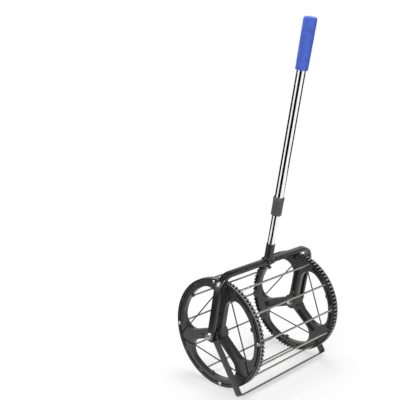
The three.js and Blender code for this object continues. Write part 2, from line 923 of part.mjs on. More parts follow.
for (const { side, name } of sides) {
  addMesh(axle, `wheel_${name}`, wheelGeometry(side), wheelPlastic);
  addMesh(axle, `hub_bush_${name}`, bushGeometry(side), nylon);
  const cordNames = spokeAngles().map((angle, index) => [angle, `cord_${name}_${index + 1}`]);
  for (const [angle, cordName] of cordNames) {
    addMesh(axle, cordName, cordGeometry(angle + sectorAngle / 2, side), elastic);
  }
  addMesh(handle, `hub_bolt_${name}`, hubBoltGeometry(side), zinc);
  addMesh(handle, `hub_nut_${name}`, hubNutGeometry(side), zinc);
  const outerWasher = ringGeometry(washerDiameter, washerInner, washerOuter, side);
  addMesh(handle, `outer_washer_${name}`, outerWasher, zinc);
  const innerWasher = ringGeometry(washerDiameter, innerWasherInner, innerWasherOuter, side);
  addMesh(handle, `inner_washer_${name}`, innerWasher, zinc);
  const spacer = ringGeometry(spacerDiameter, spacerInner, spacerOuter, side);
  addMesh(handle, `hub_spacer_${name}`, spacer, blackPlastic);
  const friction = ringGeometry(frictionWasherDiameter, frictionInner, frictionOuter, side);
  addMesh(handle, `friction_washer_${name}`, friction, nylon);
  addMesh(handle, `arm_cap_${name}`, armCapGeometry(side), blackPlastic);
}

for (let rod = 0; rod < rodCount; rod += 1) {
  const label = String(rod + 1).padStart(2, "0");
  addMesh(axle, `rod_${label}`, rodGeometry(rod), chrome);
  if (!isTie(rod)) continue;
  for (const { side, name } of sides) {
    addMesh(axle, `tie_screw_${name}_${label}`, tieScrewGeometry(rod, side), zinc);
  }
}

addMesh(handle, "yoke", yokeGeometry(), blackPaint);
addMesh(stand, "stand", standGeometry(), blackPaint);
addMesh(handle, "pole_socket", socketGeometry(), blackPaint);
addMesh(handle, "socket_screw", socketScrewGeometry(), zinc);
addMesh(handle, "lower_tube", lowerTubeGeometry(), chrome);
addMesh(handle, "lower_tube_guide", guideGeometry(), nylon);
addMesh(handle, "upper_tube", upperTubeGeometry(), chrome);
addMesh(handle, "lock_collet", colletGeometry(), nylon);
addMesh(handle, "twist_collar", collarGeometry(), blackPlastic);
addMesh(handle, "grip_plug", gripPlugGeometry(), blackPlastic);
addMesh(handle, "foam_grip", gripGeometry(), foam);

// The origin is on the floor, under the middle of the whole object
const extent = new THREE.Box3().setFromObject(collector, true);
collector.position.y = -(extent.min.y + extent.max.y) / 2;

export default collector;
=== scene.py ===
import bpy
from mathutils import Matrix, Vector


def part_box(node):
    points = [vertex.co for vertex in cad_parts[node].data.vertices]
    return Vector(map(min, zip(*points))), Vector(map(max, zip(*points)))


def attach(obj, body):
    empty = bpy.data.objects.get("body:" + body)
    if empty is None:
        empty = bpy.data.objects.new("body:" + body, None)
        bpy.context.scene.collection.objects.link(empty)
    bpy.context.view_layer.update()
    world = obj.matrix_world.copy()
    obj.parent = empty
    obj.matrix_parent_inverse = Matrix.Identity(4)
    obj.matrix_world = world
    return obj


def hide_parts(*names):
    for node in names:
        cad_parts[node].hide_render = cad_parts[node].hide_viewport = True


bl_info = {
    "name": "Ball collector",
    "version": (1, 0, 0),
    "blender": (4, 5, 0),
    "location": "3D View > Sidebar > Collector",
    "description": "A rolling rod drum that picks up tennis balls, with its yoke, stand and pole",
    "category": "Object",
}

import math

import bpy
from mathutils import Matrix, Vector
from mathutils import noise

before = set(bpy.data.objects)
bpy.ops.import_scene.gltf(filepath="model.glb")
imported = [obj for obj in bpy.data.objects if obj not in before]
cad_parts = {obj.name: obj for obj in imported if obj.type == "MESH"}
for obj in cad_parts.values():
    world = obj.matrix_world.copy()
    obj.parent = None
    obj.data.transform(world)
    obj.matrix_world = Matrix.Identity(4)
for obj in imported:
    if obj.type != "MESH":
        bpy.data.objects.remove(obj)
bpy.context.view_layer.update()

MM = 0.001
TURN = 2 * math.pi
QUARTER = math.pi / 2
SIDES = {"left": -1, "right": 1}
FIT = 0.3 * MM  # Gap between parts that sit in or on one another
OVERRUN = 2 * MM  # How far a cutting tool reaches past a surface
NUDGE = 1e-6  # Less than the smallest step of any outline
AMBIENT = 0.12  # Strength of the background as a light, where 1 is white
# Facets round each kind of piece
FACETS = {
    "cord": 20, "hole": 24, "rod": 32, "bolt_hole": 32, "thread": 40, "small_screw": 40,
    "screw": 48, "nut": 48, "bore": 48, "ring": 64, "tube_bore": 64, "socket": 80, "hub": 96,
    "tube": 96,
}
# How far the edges of each kind of piece are rounded
EDGES = {
    "bush": 0.3 * MM, "cap": 0.15 * MM, "hexagon": 0.12 * MM, "ring": 0.2 * MM,
    "screw": 0.15 * MM, "small_screw": 0.1 * MM, "socket": 0.5 * MM, "strip": 0.25 * MM,
    "tube": 0.25 * MM,
}


# Properties

def length(name, description, default):
    return bpy.props.FloatProperty(
        name=name, description=description, default=default, min=0.0, precision=4,
        unit="LENGTH", subtype="DISTANCE",
    )


def angle(name, description, degrees):
    return bpy.props.FloatProperty(
        name=name, description=description, default=math.radians(degrees), unit="ROTATION",
        subtype="ANGLE",
    )


def number(name, description, default):
    return bpy.props.IntProperty(name=name, description=description, default=default, min=1)


def colour(name, description, default):
    return bpy.props.FloatVectorProperty(
        name=name, description=description, default=default, min=0.0, max=1.0, size=3,
        subtype="COLOR",
    )


def portion(name, description, default):
    return bpy.props.FloatProperty(
        name=name, description=description, default=default, min=0.0, max=1.0, subtype="FACTOR",
    )


class CollectorWheelSizes(bpy.types.PropertyGroup):
    radius: length("Radius", "From the axle to the ground", 140 * MM)
    outer_face: length("Outer face", "From mid-drum to a wheel's outer face", 160 * MM)
    rim_width: length("Rim width", "Thickness of rim and spokes", 15 * MM)
    rim_depth: length("Rim depth", "From the tread to a window", 21 * MM)
    rib_count: number("Ribs", "Ribs round the tread", 84)
    rib_height: length("Rib height", "How far a rib stands out of the tread", 3.5 * MM)
    rib_crown: portion("Rib crown", "Share of a rib's pitch at its crown", 0.40)
    rib_root: portion("Rib root", "Share of a rib's pitch at its root", 0.56)
    lip: length("Lip", "Smooth lip where the ribs end, at the outer face", 3 * MM)
    turn: angle("Turn", "Angle of the first spoke from the top", 10.25)
    spokes: number("Spokes", "Spokes of a wheel", 3)
    spoke_width: length("Spoke width", "Across a spoke", 24 * MM)
    rim_fillet: length("Rim fillet", "Round corner between spoke and rim", 32 * MM)
    hub_fillet: length("Hub fillet", "Round corner between spoke and hub", 10 * MM)
    hole_width: length("Hole width", "Across the blind hole in a spoke", 7 * MM)
    hole_depth: length("Hole depth", "Depth of this hole", 4 * MM)
    hole_radius: length("Hole radius", "From the axle to this hole", 52 * MM)
    channel_width: length("Channel width", "Across the hollow back of a spoke", 13 * MM)
    channel_depth: length("Channel depth", "Depth of this hollow", 8 * MM)
    channel_start: length("Channel start", "From the axle to the start of this hollow", 30 * MM)
    channel_end: length("Channel end", "From the axle to the end of this hollow", 100 * MM)
    hub_radius: length("Hub radius", "Radius of the hub", 20 * MM)
    hub_outside: length("Hub outside", "Hub's step out of the outer face", 5 * MM)
    hub_inside: length("Hub inside", "Hub's step out of the inner face", 6 * MM)
    hub_bore: length("Hub bore", "Bore for the bush", 14.6 * MM)
    groove_radius: length("Groove radius", "Radius of the arcs in the outer face", 131 * MM)
    groove_width: length("Groove width", "Width of these arcs", 4.6 * MM)
    groove_depth: length("Groove depth", "Depth of these arcs", 5 * MM)
    groove_span: angle("Groove span", "Angle of one of these arcs", 24.5)
    pocket_radius: length("Pocket radius", "Radius of the hollows in the inner face", 129.5 * MM)
    pocket_width: length("Pocket width", "Width of these hollows", 11 * MM)
    pocket_depth: length("Pocket depth", "Depth of these hollows", 7 * MM)
    pocket_span: angle("Pocket span", "Angle of one of these hollows", 20.5)
    hook_setback: length("Hook setback", "From the outer face to a cord hook", 2 * MM)
    hook_width: length("Hook width", "Width of a hook along the axle", 7 * MM)
    hook_stem: length("Hook stem", "Across the stem of a hook", 5 * MM)
    hook_rise: length("Hook rise", "From the rim to the head of a hook", 4.5 * MM)
    hook_head: length("Hook head", "Across the head of a hook", 12 * MM)
    hook_thickness: length("Hook thickness", "Thickness of this head", 3 * MM)
    edge: length("Edge", "Rounding of moulded edges", 0.5 * MM)


class CollectorRodSizes(bpy.types.PropertyGroup):
    count: number("Rods", "Rods round the drum", 12)
    diameter: length("Diameter", "Across a rod", 5 * MM)
    chamfer: length("Chamfer", "Bevel at the ends of a rod", 0.5 * MM)
    circle: length("Circle", "Radius of the circle of rods", 132.5 * MM)
    socket: length("Socket", "How deep a rod sits in a wheel", 8 * MM)
    per_tie: number("Rods per screw", "One rod in so many is held by screws", 3)
    head_diameter: length("Screw head", "Across a screw's head", 10 * MM)
    head_height: length("Screw head height", "Height of a screw's head", 3.6 * MM)
    head_rim: length("Screw head rim", "Straight part at the foot of this head", 0.9 * MM)
    shank: length("Screw shank", "Across a screw's shank", 2.7 * MM)
    shank_length: length("Screw length", "Length of this shank", 15 * MM)
    key: length("Key", "Across the hexagon in the head", 4 * MM)
    key_depth: length("Key depth", "Depth of this hexagon", 2 * MM)


class CollectorCordSizes(bpy.types.PropertyGroup):
    diameter: length("Diameter", "Across a cord", 3.2 * MM)
    sink: length("Sink", "From a wheel's outer face in to the middle of a cord", 4 * MM)
    play: length("Play", "Gap round a cord in its slot", 0.6 * MM)
    knot: length("Knot", "Across a knot", 6.6 * MM)
    knot_radius: length("Knot radius", "From the axle to a knot", 126 * MM)
    knot_offset: length("Knot offset", "From the middle of a spoke to a knot", 9.8 * MM)


class CollectorHubSizes(bpy.types.PropertyGroup):
    bolt: length("Bolt", "Across a hub bolt", 8 * MM)
    pitch: length("Pitch", "Pitch of its thread", 1.25 * MM)
    thread: length("Thread", "Depth of its thread", 0.65 * MM)
    across_flats: length("Across flats", "Across the hexagons of bolt and nut", 13 * MM)
    head_height: length("Head height", "Height of a bolt's head", 5.3 * MM)
    nut_ring: length("Nut ring", "Across the locking ring of a nut", 11.2 * MM)
    nut_ring_height: length("Nut ring height", "Height of this ring", 3 * MM)
    nut_ring_rise: length("Nut ring rise", "How far it stands out of the nut", 1.6 * MM)
    bush: length("Bush", "Across a bush", 14 * MM)
    flange: length("Flange", "Across the flange of a bush", 22 * MM)
    flange_width: length("Flange width", "Thickness of this flange", 1.5 * MM)
    spacer: length("Spacer", "Across the spacer beside a hub", 16 * MM)
    friction_washer: length("Friction washer", "Across the washer beside the yoke", 20 * MM)
    washer: length("Washer", "Across the washers of the bolts", 17 * MM)


class CollectorFrameSizes(bpy.types.PropertyGroup):
    lean: angle("Lean", "Yoke and pole towards the foot", 10.1)
    arm_width: length("Arm width", "Flat tube, across", 20 * MM)
    arm_thickness: length("Arm thickness", "Flat tube, through", 10 * MM)
    arm_corner: length("Arm corner", "Rounding of the flat tube", 3 * MM)
    arm_crown: length("Arm crown", "How full the wide faces of the tube are", 0.35 * MM)
    arm_middle: length("Arm middle", "From mid-drum to the middle of an arm", 182.1 * MM)
    bend: length("Bend", "Radius of the yoke's bends", 38 * MM)
    height: length("Height", "From the axle to the middle of the bar", 159 * MM)
    tail: length("Tail", "Arm below the axle", 11.5 * MM)
    cap_length: length("Cap length", "How far a cap stands out of an arm", 4 * MM)
    cap_round: length("Cap round", "Rounding of a cap", 2.6 * MM)
    plug_width: length("Plug width", "Wide side of the plug on a cap", 13 * MM)
    plug_thickness: length("Plug thickness", "Narrow side of this plug", 6.8 * MM)
    plug_length: length("Plug length", "Length of this plug", 3.4 * MM)
    strip_width: length("Strip width", "Stand strip, across", 20 * MM)
    strip_thickness: length("Strip thickness", "Stand strip, through", 3 * MM)
    strip_middle: length("Strip middle", "From mid-drum to the middle of a leg", 173.9 * MM)
    strip_bend: length("Strip bend", "Radius of the stand's bends", 6 * MM)
    strip_eye: length("Strip eye", "Across the round end of a leg", 24 * MM)
    stand_lean: angle("Stand lean", "Stand from straight down", 33.4)


class CollectorPoleSizes(bpy.types.PropertyGroup):
    saddle_length: length("Saddle length", "Length of the saddle along the bar", 25 * MM)
    saddle_wall: length("Saddle wall", "Wall of the saddle", 2.2 * MM)
    saddle_drop: length("Saddle drop", "How far the saddle clasps the bar", 9.5 * MM)
    bead_width: length("Bead width", "Width of the bead at the sleeve's foot", 2.6 * MM)
    bead_height: length("Bead height", "Height of this bead", 3.2 * MM)
    screw_shank: length("Screw shank", "Across the shank of the socket's screw", 3.4 * MM)
    screw_length: length("Screw length", "Length of this shank", 7 * MM)
    screw_head: length("Screw head", "Across the head of this screw", 7 * MM)
    screw_rim: length("Screw rim", "Straight part at the foot of this head", 0.6 * MM)
    screw_dome: length("Screw dome", "Dome of this head, above its rim", 1.6 * MM)
    socket_diameter: length("Socket", "Across the socket's sleeve", 22.4 * MM)
    socket_top: length("Socket top", "From the axle to the top of the sleeve", 207.5 * MM)
    lower_diameter: length("Lower tube", "Across the lower tube", 19 * MM)
    upper_diameter: length("Upper tube", "Across the upper tube", 22 * MM)
    wall: length("Wall", "Wall of both tubes", 1 * MM)
    lip: length("Tube lip", "Rounding at the ends of the tubes", 0.3 * MM)
    collar_bottom: length("Collar bottom", "From the axle to the twist collar", 285.5 * MM)
    collar_length: length("Collar length", "Length of the twist collar", 48 * MM)
    collar_diameter: length("Collar", "Across the twist collar", 27 * MM)
    collar_wall: length("Collar wall", "From the upper tube to the collar's bore", 1.6 * MM)
    collar_base: length("Collar base", "Thickness of the collar's bottom", 4 * MM)
    collar_bevel: length("Collar bevel", "Rounding of its foot", 2.5 * MM)
    ring_diameter: length("Collar ring", "Across the ring at its top", 28 * MM)
    ring_length: length("Collar ring length", "Length of this ring", 9 * MM)
    flutes: number("Flutes", "Grip flutes round the collar", 24)
    flute_depth: length("Flute depth", "Depth of a flute", 0.65 * MM)
    flute_fade: length("Flute fade", "Length over which a flute runs out", 3 * MM)
    top: length("Top", "From the axle to the top of the grip", 772 * MM)
    grip_length: length("Grip length", "Length of the foam grip", 122 * MM)
    grip_top: length("Grip top", "Across the grip near its top", 32.4 * MM)
    grip_bottom: length("Grip bottom", "Across the grip at its foot", 30.4 * MM)
    grip_crown: length("Grip crown", "Rounding of the grip's top", 5.5 * MM)
    grip_foot: length("Grip foot", "Rounding of the grip's foot", 2.4 * MM)
    grip_cover: length("Grip cover", "Foam above the end of the tube", 4.7 * MM)
    seam_drop: length("Seam", "From the grip's top to its seam", 32 * MM)
    seam_depth: length("Seam depth", "Depth of the seam", 1.1 * MM)


class CollectorColours(bpy.types.PropertyGroup):
    wheel: colour("Wheels", "Moulded plastic of the wheels", (0.033, 0.033, 0.034))
    paint: colour("Paint", "Powder coat of yoke, stand and socket", (0.020, 0.020, 0.022))
    collar: colour("Collar", "Plastic of the collar and caps", (0.088, 0.088, 0.090))
    nylon: colour("Nylon", "Bushes, collet and guide", (0.055, 0.055, 0.057))
    cord: colour("Cords", "Elastic cords", (0.014, 0.014, 0.016))
    steel: colour("Rods", "Plated steel rods", (0.45, 0.45, 0.43))
    zinc: colour("Screws", "Zinc plated screws, nuts and washers", (0.42, 0.43, 0.44))
    chrome: colour("Pole", "Chrome of the tubes", (0.93, 0.93, 0.94))
    foam: colour("Grip", "Foam of the grip", (0.074, 0.152, 0.850))
    floor: colour("Floor", "Floor of the studio", (0.94, 0.94, 0.94))


# Finishes

class Wired:
    """A socket of a finish, which sums and products of numbers add Math nodes to."""

    def __init__(self, finish, socket):
        self.finish = finish
        self.socket = socket

    def maths(self, operation, *values):
        inputs = dict(enumerate(values))
        return self.finish.node("ShaderNodeMath", inputs, operation=operation)

    def __add__(self, other):
        return self.maths("ADD", self, other)

    def __sub__(self, other):
        return self.maths("SUBTRACT", self, other)

    def __rsub__(self, other):
        return self.maths("SUBTRACT", other, self)

    def __mul__(self, other):
        return self.maths("MULTIPLY", self, other)

    def __abs__(self):
        return self.maths("ABSOLUTE", self)

    def root(self):
        return self.maths("SQRT", self)

    __radd__ = __add__
    __rmul__ = __mul__


class Finish:
    """A material or a world in the making."""

    def __init__(self, made, end="ShaderNodeOutputMaterial"):
        made.use_nodes = True
        self.made = made
        self.end = end
        self.tree = made.node_tree
        self.tree.nodes.clear()

    def node(self, kind, inputs, output=0, **settings):
        """A node of a kind: its settings are set first, then the values or links it takes."""
        node = self.tree.nodes.new(kind)
        for key, value in settings.items():
            setattr(node, key, value)
        for key, value in inputs.items():
            if isinstance(value, Wired):
                self.tree.links.new(value.socket, node.inputs[key])
            else:
                node.inputs[key].default_value = value
        return Wired(self, node.outputs[output]) if node.outputs else None

    def place(self, turn=0.0):
        """Place on the piece, in metres, turned back about the axle by the lean of its piece."""
        spot = self.node("ShaderNodeTexCoord", {}, output="Object")
        return self.node("ShaderNodeMapping", {"Vector": spot, "Rotation": (turn, 0, 0)})

    def noise(self, place, scale, detail=3.0, roughness=0.55):
        """Noise from 0 to 1, whose scale is in features to a metre."""
        inputs = {"Vector": place, "Scale": scale, "Detail": detail, "Roughness": roughness}
        return self.node("ShaderNodeTexNoise", inputs)

    def spread(self, value, low, high, start=0.0, end=1.0, kind="LINEAR"):
        """Turns a value between low and high into one between start and end."""
        inputs = {
            "Value": value, "From Min": low, "From Max": high, "To Min": start, "To Max": end,
        }
        return self.node("ShaderNodeMapRange", inputs, interpolation_type=kind)

    def beyond(self, place, centre, radius, blend):
        """1 on what lies further from an axle along X than a radius, 0 within it."""
        y, z = (
            self.node("ShaderNodeSeparateXYZ", {"Vector": place}, output=axis) - middle
            for axis, middle in zip("YZ", centre)
        )
        return self.spread((y * y + z * z).root(), radius - blend, radius)

    def mix(self, factor, first, second):
        """A blend of two colours, each one a tint or a socket."""
        inputs = {0: factor}
        for key, value in ((6, first), (7, second)):
            inputs[key] = (*value, 1.0) if isinstance(value, tuple) else value
        return self.node("ShaderNodeMix", inputs, output=2, data_type="RGBA")

    def bump(self, height, strength, distance):
        inputs = {"Strength": strength, "Distance": distance, "Height": height}
        return self.node("ShaderNodeBump", inputs)

    def backdrop(self):
        """Strength of the background: white where it is seen or mirrored, dim as a light."""
        direct, mirrored, through = (
            self.node("ShaderNodeLightPath", {}, output=f"Is {ray} Ray")
            for ray in ("Camera", "Glossy", "Transmission")
        )
        inputs = {0: direct + mirrored, 1: through}
        seen = self.node("ShaderNodeMath", inputs, operation="ADD", use_clamp=True)
        return seen * (1 - AMBIENT) + AMBIENT

    def done(self, shader):
        self.node(self.end, {"Surface": shader})
        return self.made

    def principled(self, **inputs):
        named = {key.replace("_", " "): value for key, value in inputs.items()}
        return self.done(self.node("ShaderNodeBsdfPrincipled", named))


def material(name):
    return Finish(bpy.data.materials.new(name))


def shade(tint, factor):
    return tuple(min(1.0, part * factor) for part in tint)


def moulded_finish(name, tint, grain, roughness, painted_rib_light=None):
    """Satin moulded plastic: fine spark texture, faint flow marks and a little dust, and, with the
    rib radii given, painted shade in the gaps between the ribs and a painted highlight on their
    crowns.
    """
    finish = material(name)
    place = finish.place()
    flow = finish.noise(place, 22.0, detail=4.0)
    dust = finish.noise(place, 900.0, detail=2.0)
    spark = finish.noise(place, grain, detail=2.0)
    tone = finish.mix(flow * 0.7 + dust * 0.3, shade(tint, 0.70), shade(tint, 1.35))
    gloss = flow * 0.16 + dust * 0.06 + (roughness - 0.11)
    skin = flow * 0.2 + 0.6
    if painted_rib_light:
        centre, root, crown = painted_rib_light
        # Painted shade: the gaps between the ribs are darkened to stand in for the shade that falls
        # in them.
        between = finish.beyond(place, centre, root - 0.3 * MM, 0.4 * MM)
        tone = finish.mix(between, tone, shade(tint, 0.15))
        # Painted highlight: the rib crowns and the lip are lightened, a little unevenly, to stand
        # in for the light that they mirror.
        painted_crown_highlight = finish.beyond(place, centre, crown - 0.4 * MM, 1.0 * MM) * (dust * 0.5 + 0.6)
        tone = finish.mix(painted_crown_highlight, tone, shade(tint, 8.5))
        skin = skin - between * 0.8 + painted_crown_highlight * 0.8
    return finish.principled(
        Base_Color=tone, Roughness=gloss, Normal=finish.bump(spark, 0.35, 0.06 * MM),
        Specular_IOR_Level=0.2, Coat_Weight=skin, Coat_Roughness=0.32,
    )


def paint_finish(name, tint):
    """Satin powder coat with its faint orange peel."""
    finish = material(name)
    place = finish.place()
    peel = finish.noise(place, 520.0, detail=1.5)
    patches = finish.noise(place, 14.0, detail=4.0)
    tone = finish.mix(patches, shade(tint, 0.75), shade(tint, 1.25))
    return finish.principled(
        Base_Color=tone, Roughness=patches * 0.08 + 0.18,
        Normal=finish.bump(peel, 0.05, 0.10 * MM), Specular_IOR_Level=0.6,
    )


def metal_finish(name, tint, roughness, stretch, scale, lean, marked):
    """Bright metal with drawing marks along the given direction and faint cloudiness."""
    finish = material(name)
    place = finish.place(turn=lean)
    drawn = finish.node("ShaderNodeMapping", {"Vector": place, "Scale": stretch})
    marks = finish.noise(drawn, scale, detail=2.0)
    clouds = finish.noise(place, 30.0, detail=3.0)
    tone = finish.mix(clouds, shade(tint, 0.90), shade(tint, 1.08))
    return finish.principled(
        Base_Color=tone, Metallic=1.0, Roughness=marks * 0.08 + clouds * 0.05 + roughness,
        Normal=finish.bump(marks, marked, 0.03 * MM),
    )


def zinc_finish(name, tint):
    """Zinc plating, a little cloudy, with warm and cold patches."""
    finish = material(name)
    place = finish.place()
    clouds = finish.noise(place, 160.0, detail=4.0)
    grain = finish.noise(place, 1500.0, detail=2.0)
    warm = (tint[0] * 1.05, tint[1], tint[2] * 0.88)
    return finish.principled(
        Base_Color=finish.mix(clouds, shade(tint, 0.85), warm), Metallic=1.0,
        Roughness=clouds * 0.10 + grain * 0.04 + 0.13, Normal=finish.bump(grain, 0.2, 0.04 * MM),
    )


def cord_finish(name, tint):
    """Braided sleeve of an elastic cord, on the cord's own map: round it and along it."""
    finish = material(name)
    spot = finish.node("ShaderNodeUVMap", {}, uv_map="Wrap")
    strands_round, waves_per_pitch = 8.0, 0.318
    waves = []
    for slope in (1.0, -1.0):
        turned = finish.node(
            "ShaderNodeMapping", {"Vector": spot, "Scale": (strands_round, slope, 1.0)},
        )
        waves.append(finish.node(
            "ShaderNodeTexWave", {"Vector": turned, "Scale": waves_per_pitch, "Distortion": 0.0},
            output="Fac", wave_type="BANDS", bands_direction="DIAGONAL",
        ))
    braid = waves[0] * waves[1]
    tone = finish.mix(braid, shade(tint, 0.55), shade(tint, 1.9))
    return finish.principled(
        Base_Color=tone, Roughness=0.88 - braid * 0.2, Normal=finish.bump(braid, 0.8, 0.2 * MM),
        Sheen_Weight=0.15,
    )


def foam_finish(name, tint, along, seam):
    """Closed-cell foam: fine pores, soft mottling, a dull sheen and painted shade along the seam
    groove round it.
    """
    finish = material(name)
    place = finish.place()
    pores = finish.node(
        "ShaderNodeTexVoronoi", {"Vector": place, "Scale": 1300.0}, output="Distance",
    )
    mottle = finish.noise(place, 60.0, detail=5.0)
    fine = finish.noise(place, 2200.0, detail=2.0)
    tone = finish.mix(mottle * 0.8 + pores * 0.3, shade(tint, 0.42), shade(tint, 1.46))
    height = finish.node(
        "ShaderNodeVectorMath", {0: place, 1: along}, output="Value", operation="DOT_PRODUCT",
    )
    # Painted shade: a narrow band along the seam groove is darkened to stand in for the shade in
    # the groove.
    off_seam = abs(height - seam + mottle * 3.0 * MM - 1.5 * MM)
    painted_seam_shade = finish.spread(off_seam, 0.2 * MM, 1.6 * MM, start=0.3, end=0.0)
    tone = finish.mix(painted_seam_shade, tone, shade(tint, 0.25))
    cells = pores * 0.7 + fine * 0.4
    return finish.principled(
        Base_Color=tone, Roughness=0.80 - mottle * 0.14,
        Normal=finish.bump(cells, 0.55, 0.2 * MM), Sheen_Weight=0.2, Specular_IOR_Level=0.35,
    )


FINISHES = {}


def finishes(context):
    """The object's finishes by slot, made once."""
    if FINISHES:
        return FINISHES
    tints = context.scene.collector_colours
    wheel, pole = context.scene.collector_wheel, context.scene.collector_pole
    lean = context.scene.collector_frame.lean
    along = AXLE.to_3x3() @ Matrix.Rotation(lean, 3, "X") @ Vector((0, 0, 1))
    seam = AXLE.translation.dot(along) + pole.top - pole.seam_drop
    # Axle and radii of the rib roots and crowns, for the painted shade in the tread's gaps and the
    # painted highlight on its crowns.
    painted_rib_light = (tuple(AXLE.translation.yz), wheel.radius - wheel.rib_height, wheel.radius)
    along_pole, along_axle = (1.0, 1.0, 0.02), (0.02, 1.0, 1.0)
    makers = {
        "wheel_plastic": (moulded_finish, tints.wheel, 1400.0, 0.40, painted_rib_light),
        "black_plastic": (moulded_finish, tints.collar, 1100.0, 0.48),
        "nylon": (moulded_finish, tints.nylon, 1800.0, 0.50),
        "black_paint": (paint_finish, tints.paint),
        "pole_chrome": (metal_finish, tints.chrome, 0.03, along_pole, 900.0, -lean, 0.10),
        "rod_steel": (metal_finish, tints.steel, 0.16, along_axle, 600.0, 0.0, 0.01),
        "zinc_plated_steel": (zinc_finish, tints.zinc),
        "elastic_cord": (cord_finish, tints.cord),
        "blue_foam": (foam_finish, tints.foam, along, seam),
    }
    for slot, (make, tint, *values) in makers.items():
        FINISHES[slot] = make(f"collector_{slot}", tuple(tint), *values)
    return FINISHES


# Modelling steps

def select_only(*pieces):
    if bpy.context.mode != "OBJECT":
        bpy.ops.object.mode_set(mode="OBJECT")
    bpy.ops.object.select_all(action="DESELECT")
    for piece in pieces:
        piece.select_set(True)
        bpy.context.view_layer.objects.active = piece


def edit_all(piece):
    select_only(piece)
    bpy.ops.object.mode_set(mode="EDIT")
    bpy.ops.mesh.select_mode(type="VERT")
    bpy.ops.mesh.select_all(action="SELECT")


def tidy(piece):
    """Merges doubles, drops loose ends and turns the faces outwards."""
    edit_all(piece)
    bpy.ops.mesh.remove_doubles(threshold=NUDGE)
    bpy.ops.mesh.delete_loose(use_verts=True, use_edges=True, use_faces=False)
    bpy.ops.mesh.select_all(action="SELECT")
    bpy.ops.mesh.normals_make_consistent(inside=False)
    bpy.ops.object.mode_set(mode="OBJECT")
    return piece


def outline(name, points, fill="NGON"):
    """A circle with a corner for each point, moved onto the points."""
    select_only()
    bpy.ops.mesh.primitive_circle_add(vertices=len(points), fill_type=fill)
    piece = bpy.context.object
    piece.name = name
    for corner, point in zip(piece.data.vertices, points):
        corner.co = point
    return piece


def arc(centre, radii, start, end, steps):
    """Points along an arc of a circle or an ellipse, from one angle to another."""
    turns = [start + (end - start) * step / steps for step in range(steps + 1)]
    return [
        (centre[0] + radii[0] * math.cos(turn), centre[1] + radii[1] * math.sin(turn))
        for turn in turns
    ]


def even(start, end, steps):
    """Points at even steps along a straight line, its two ends with them."""
    return [
        tuple(low + (high - low) * step / steps for low, high in zip(start, end))
        for step in range(steps + 1)
    ]


def extruded(piece, offset):
    edit_all(piece)
    bpy.ops.mesh.extrude_region_move(TRANSFORM_OT_translate={"value": offset})
    return tidy(piece)


def lathe(name, profile, sides):
    """A closed profile of (radius, height) pairs spun about Z."""
    piece = outline(name, [(radius, 0.0, height) for radius, height in profile], "NOTHING")
    edit_all(piece)
    bpy.ops.mesh.spin(
        steps=sides, angle=TURN, center=(0, 0, 0), axis=(0, 0, 1), use_auto_merge=True,
    )
    return tidy(piece)


def bent(name, section, steps):
    """A section pushed along straight runs and spun round bends."""
    piece = outline(name, section)
    edit_all(piece)
    for kind, *values in steps:
        if kind == "run":
            bpy.ops.mesh.extrude_region_move(TRANSFORM_OT_translate={"value": values[0]})
        else:
            centre, turn, count = values
            bpy.ops.mesh.spin(steps=count, angle=-turn, center=centre, axis=(0, 1, 0))
    return tidy(piece)


def cylinder(radius, low, high, centre, sides=32, along="X"):
    """A round tool along X, or along Y or Z, from low to high."""
    select_only()
    middle = (low + high) / 2
    place = {"X": (middle, *centre), "Y": (centre[0], middle, centre[1]), "Z": (*centre, middle)}
    turns = {"X": (0, QUARTER, 0), "Y": (QUARTER, 0, 0), "Z": (0, 0, 0)}
    bpy.ops.mesh.primitive_cylinder_add(
        vertices=sides, radius=radius, depth=abs(high - low), location=place[along],
        rotation=turns[along],
    )
    return bpy.context.object


def prism(points, low, high):
    """An outline in the YZ plane, thick along X."""
    piece = outline("tool", [(low, *point) for point in points])
    return extruded(piece, (high - low, 0, 0))


def joined(name, pieces):
    select_only(*pieces)
    if len(pieces) > 1:
        bpy.ops.object.join()
    piece = bpy.context.object
    piece.name = name
    return piece


def carved(piece, tools, operation="DIFFERENCE"):
    """Cuts the tools out of a piece, or adds them to it."""
    tool = joined("tool", tools)
    step = piece.modifiers.new("Carve", "BOOLEAN")
    step.object = tool
    step.operation = operation
    step.solver = "EXACT"
    select_only(piece)
    bpy.ops.object.modifier_apply(modifier=step.name)
    bpy.data.objects.remove(tool)
    return piece


def rounded(piece, width=0.0, limit=35.0):
    """Smooth shading, and perhaps an edge round with clean flats beside it."""
    select_only(piece)
    bpy.ops.object.shade_smooth_by_angle(angle=math.radians(limit))
    if width:
        step = piece.modifiers.new("Edges", "BEVEL")
        step.width = width
        step.segments = 2
        step.limit_method = "ANGLE"
        step.angle_limit = math.radians(limit)
        step.use_clamp_overlap = False
        step.harden_normals = True
        bpy.ops.object.modifier_apply(modifier=step.name)
    return piece


def placed(piece, place):
    """Moves a piece to its place and puts the place into its mesh."""
    select_only(piece)
    piece.matrix_world = place @ piece.matrix_world
    bpy.ops.object.transform_apply(location=True, rotation=True, scale=True)
    return piece


def copied(piece, name, place):
    """A copy with its own mesh, at another place."""
    twin = piece.copy()
    twin.data = piece.data.copy()
    bpy.context.collection.objects.link(twin)
    twin.name = name
    return placed(twin, place)


def coated(context, piece, slot):
    piece.data.materials.clear()
    piece.data.materials.append(finishes(context)[slot])


def fitted(context, piece, body, slot, *nodes):
    """Gives a placed piece its finish, its body and the nodes that it stands for."""
    piece.data.name = piece.name
    coated(context, piece, slot)
    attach(piece, body)
    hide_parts(*nodes)
    return piece


def pressed(piece, radial):
    """Moves the corners of a piece along Z nearer to its axis, each by radial(place, radius)."""
    for corner in piece.data.vertices:
        radius = math.hypot(corner.co.x, corner.co.y)
        if radius:
            scale = 1 - radial(corner.co, radius) / radius
            corner.co = (corner.co.x * scale, corner.co.y * scale, corner.co.z)


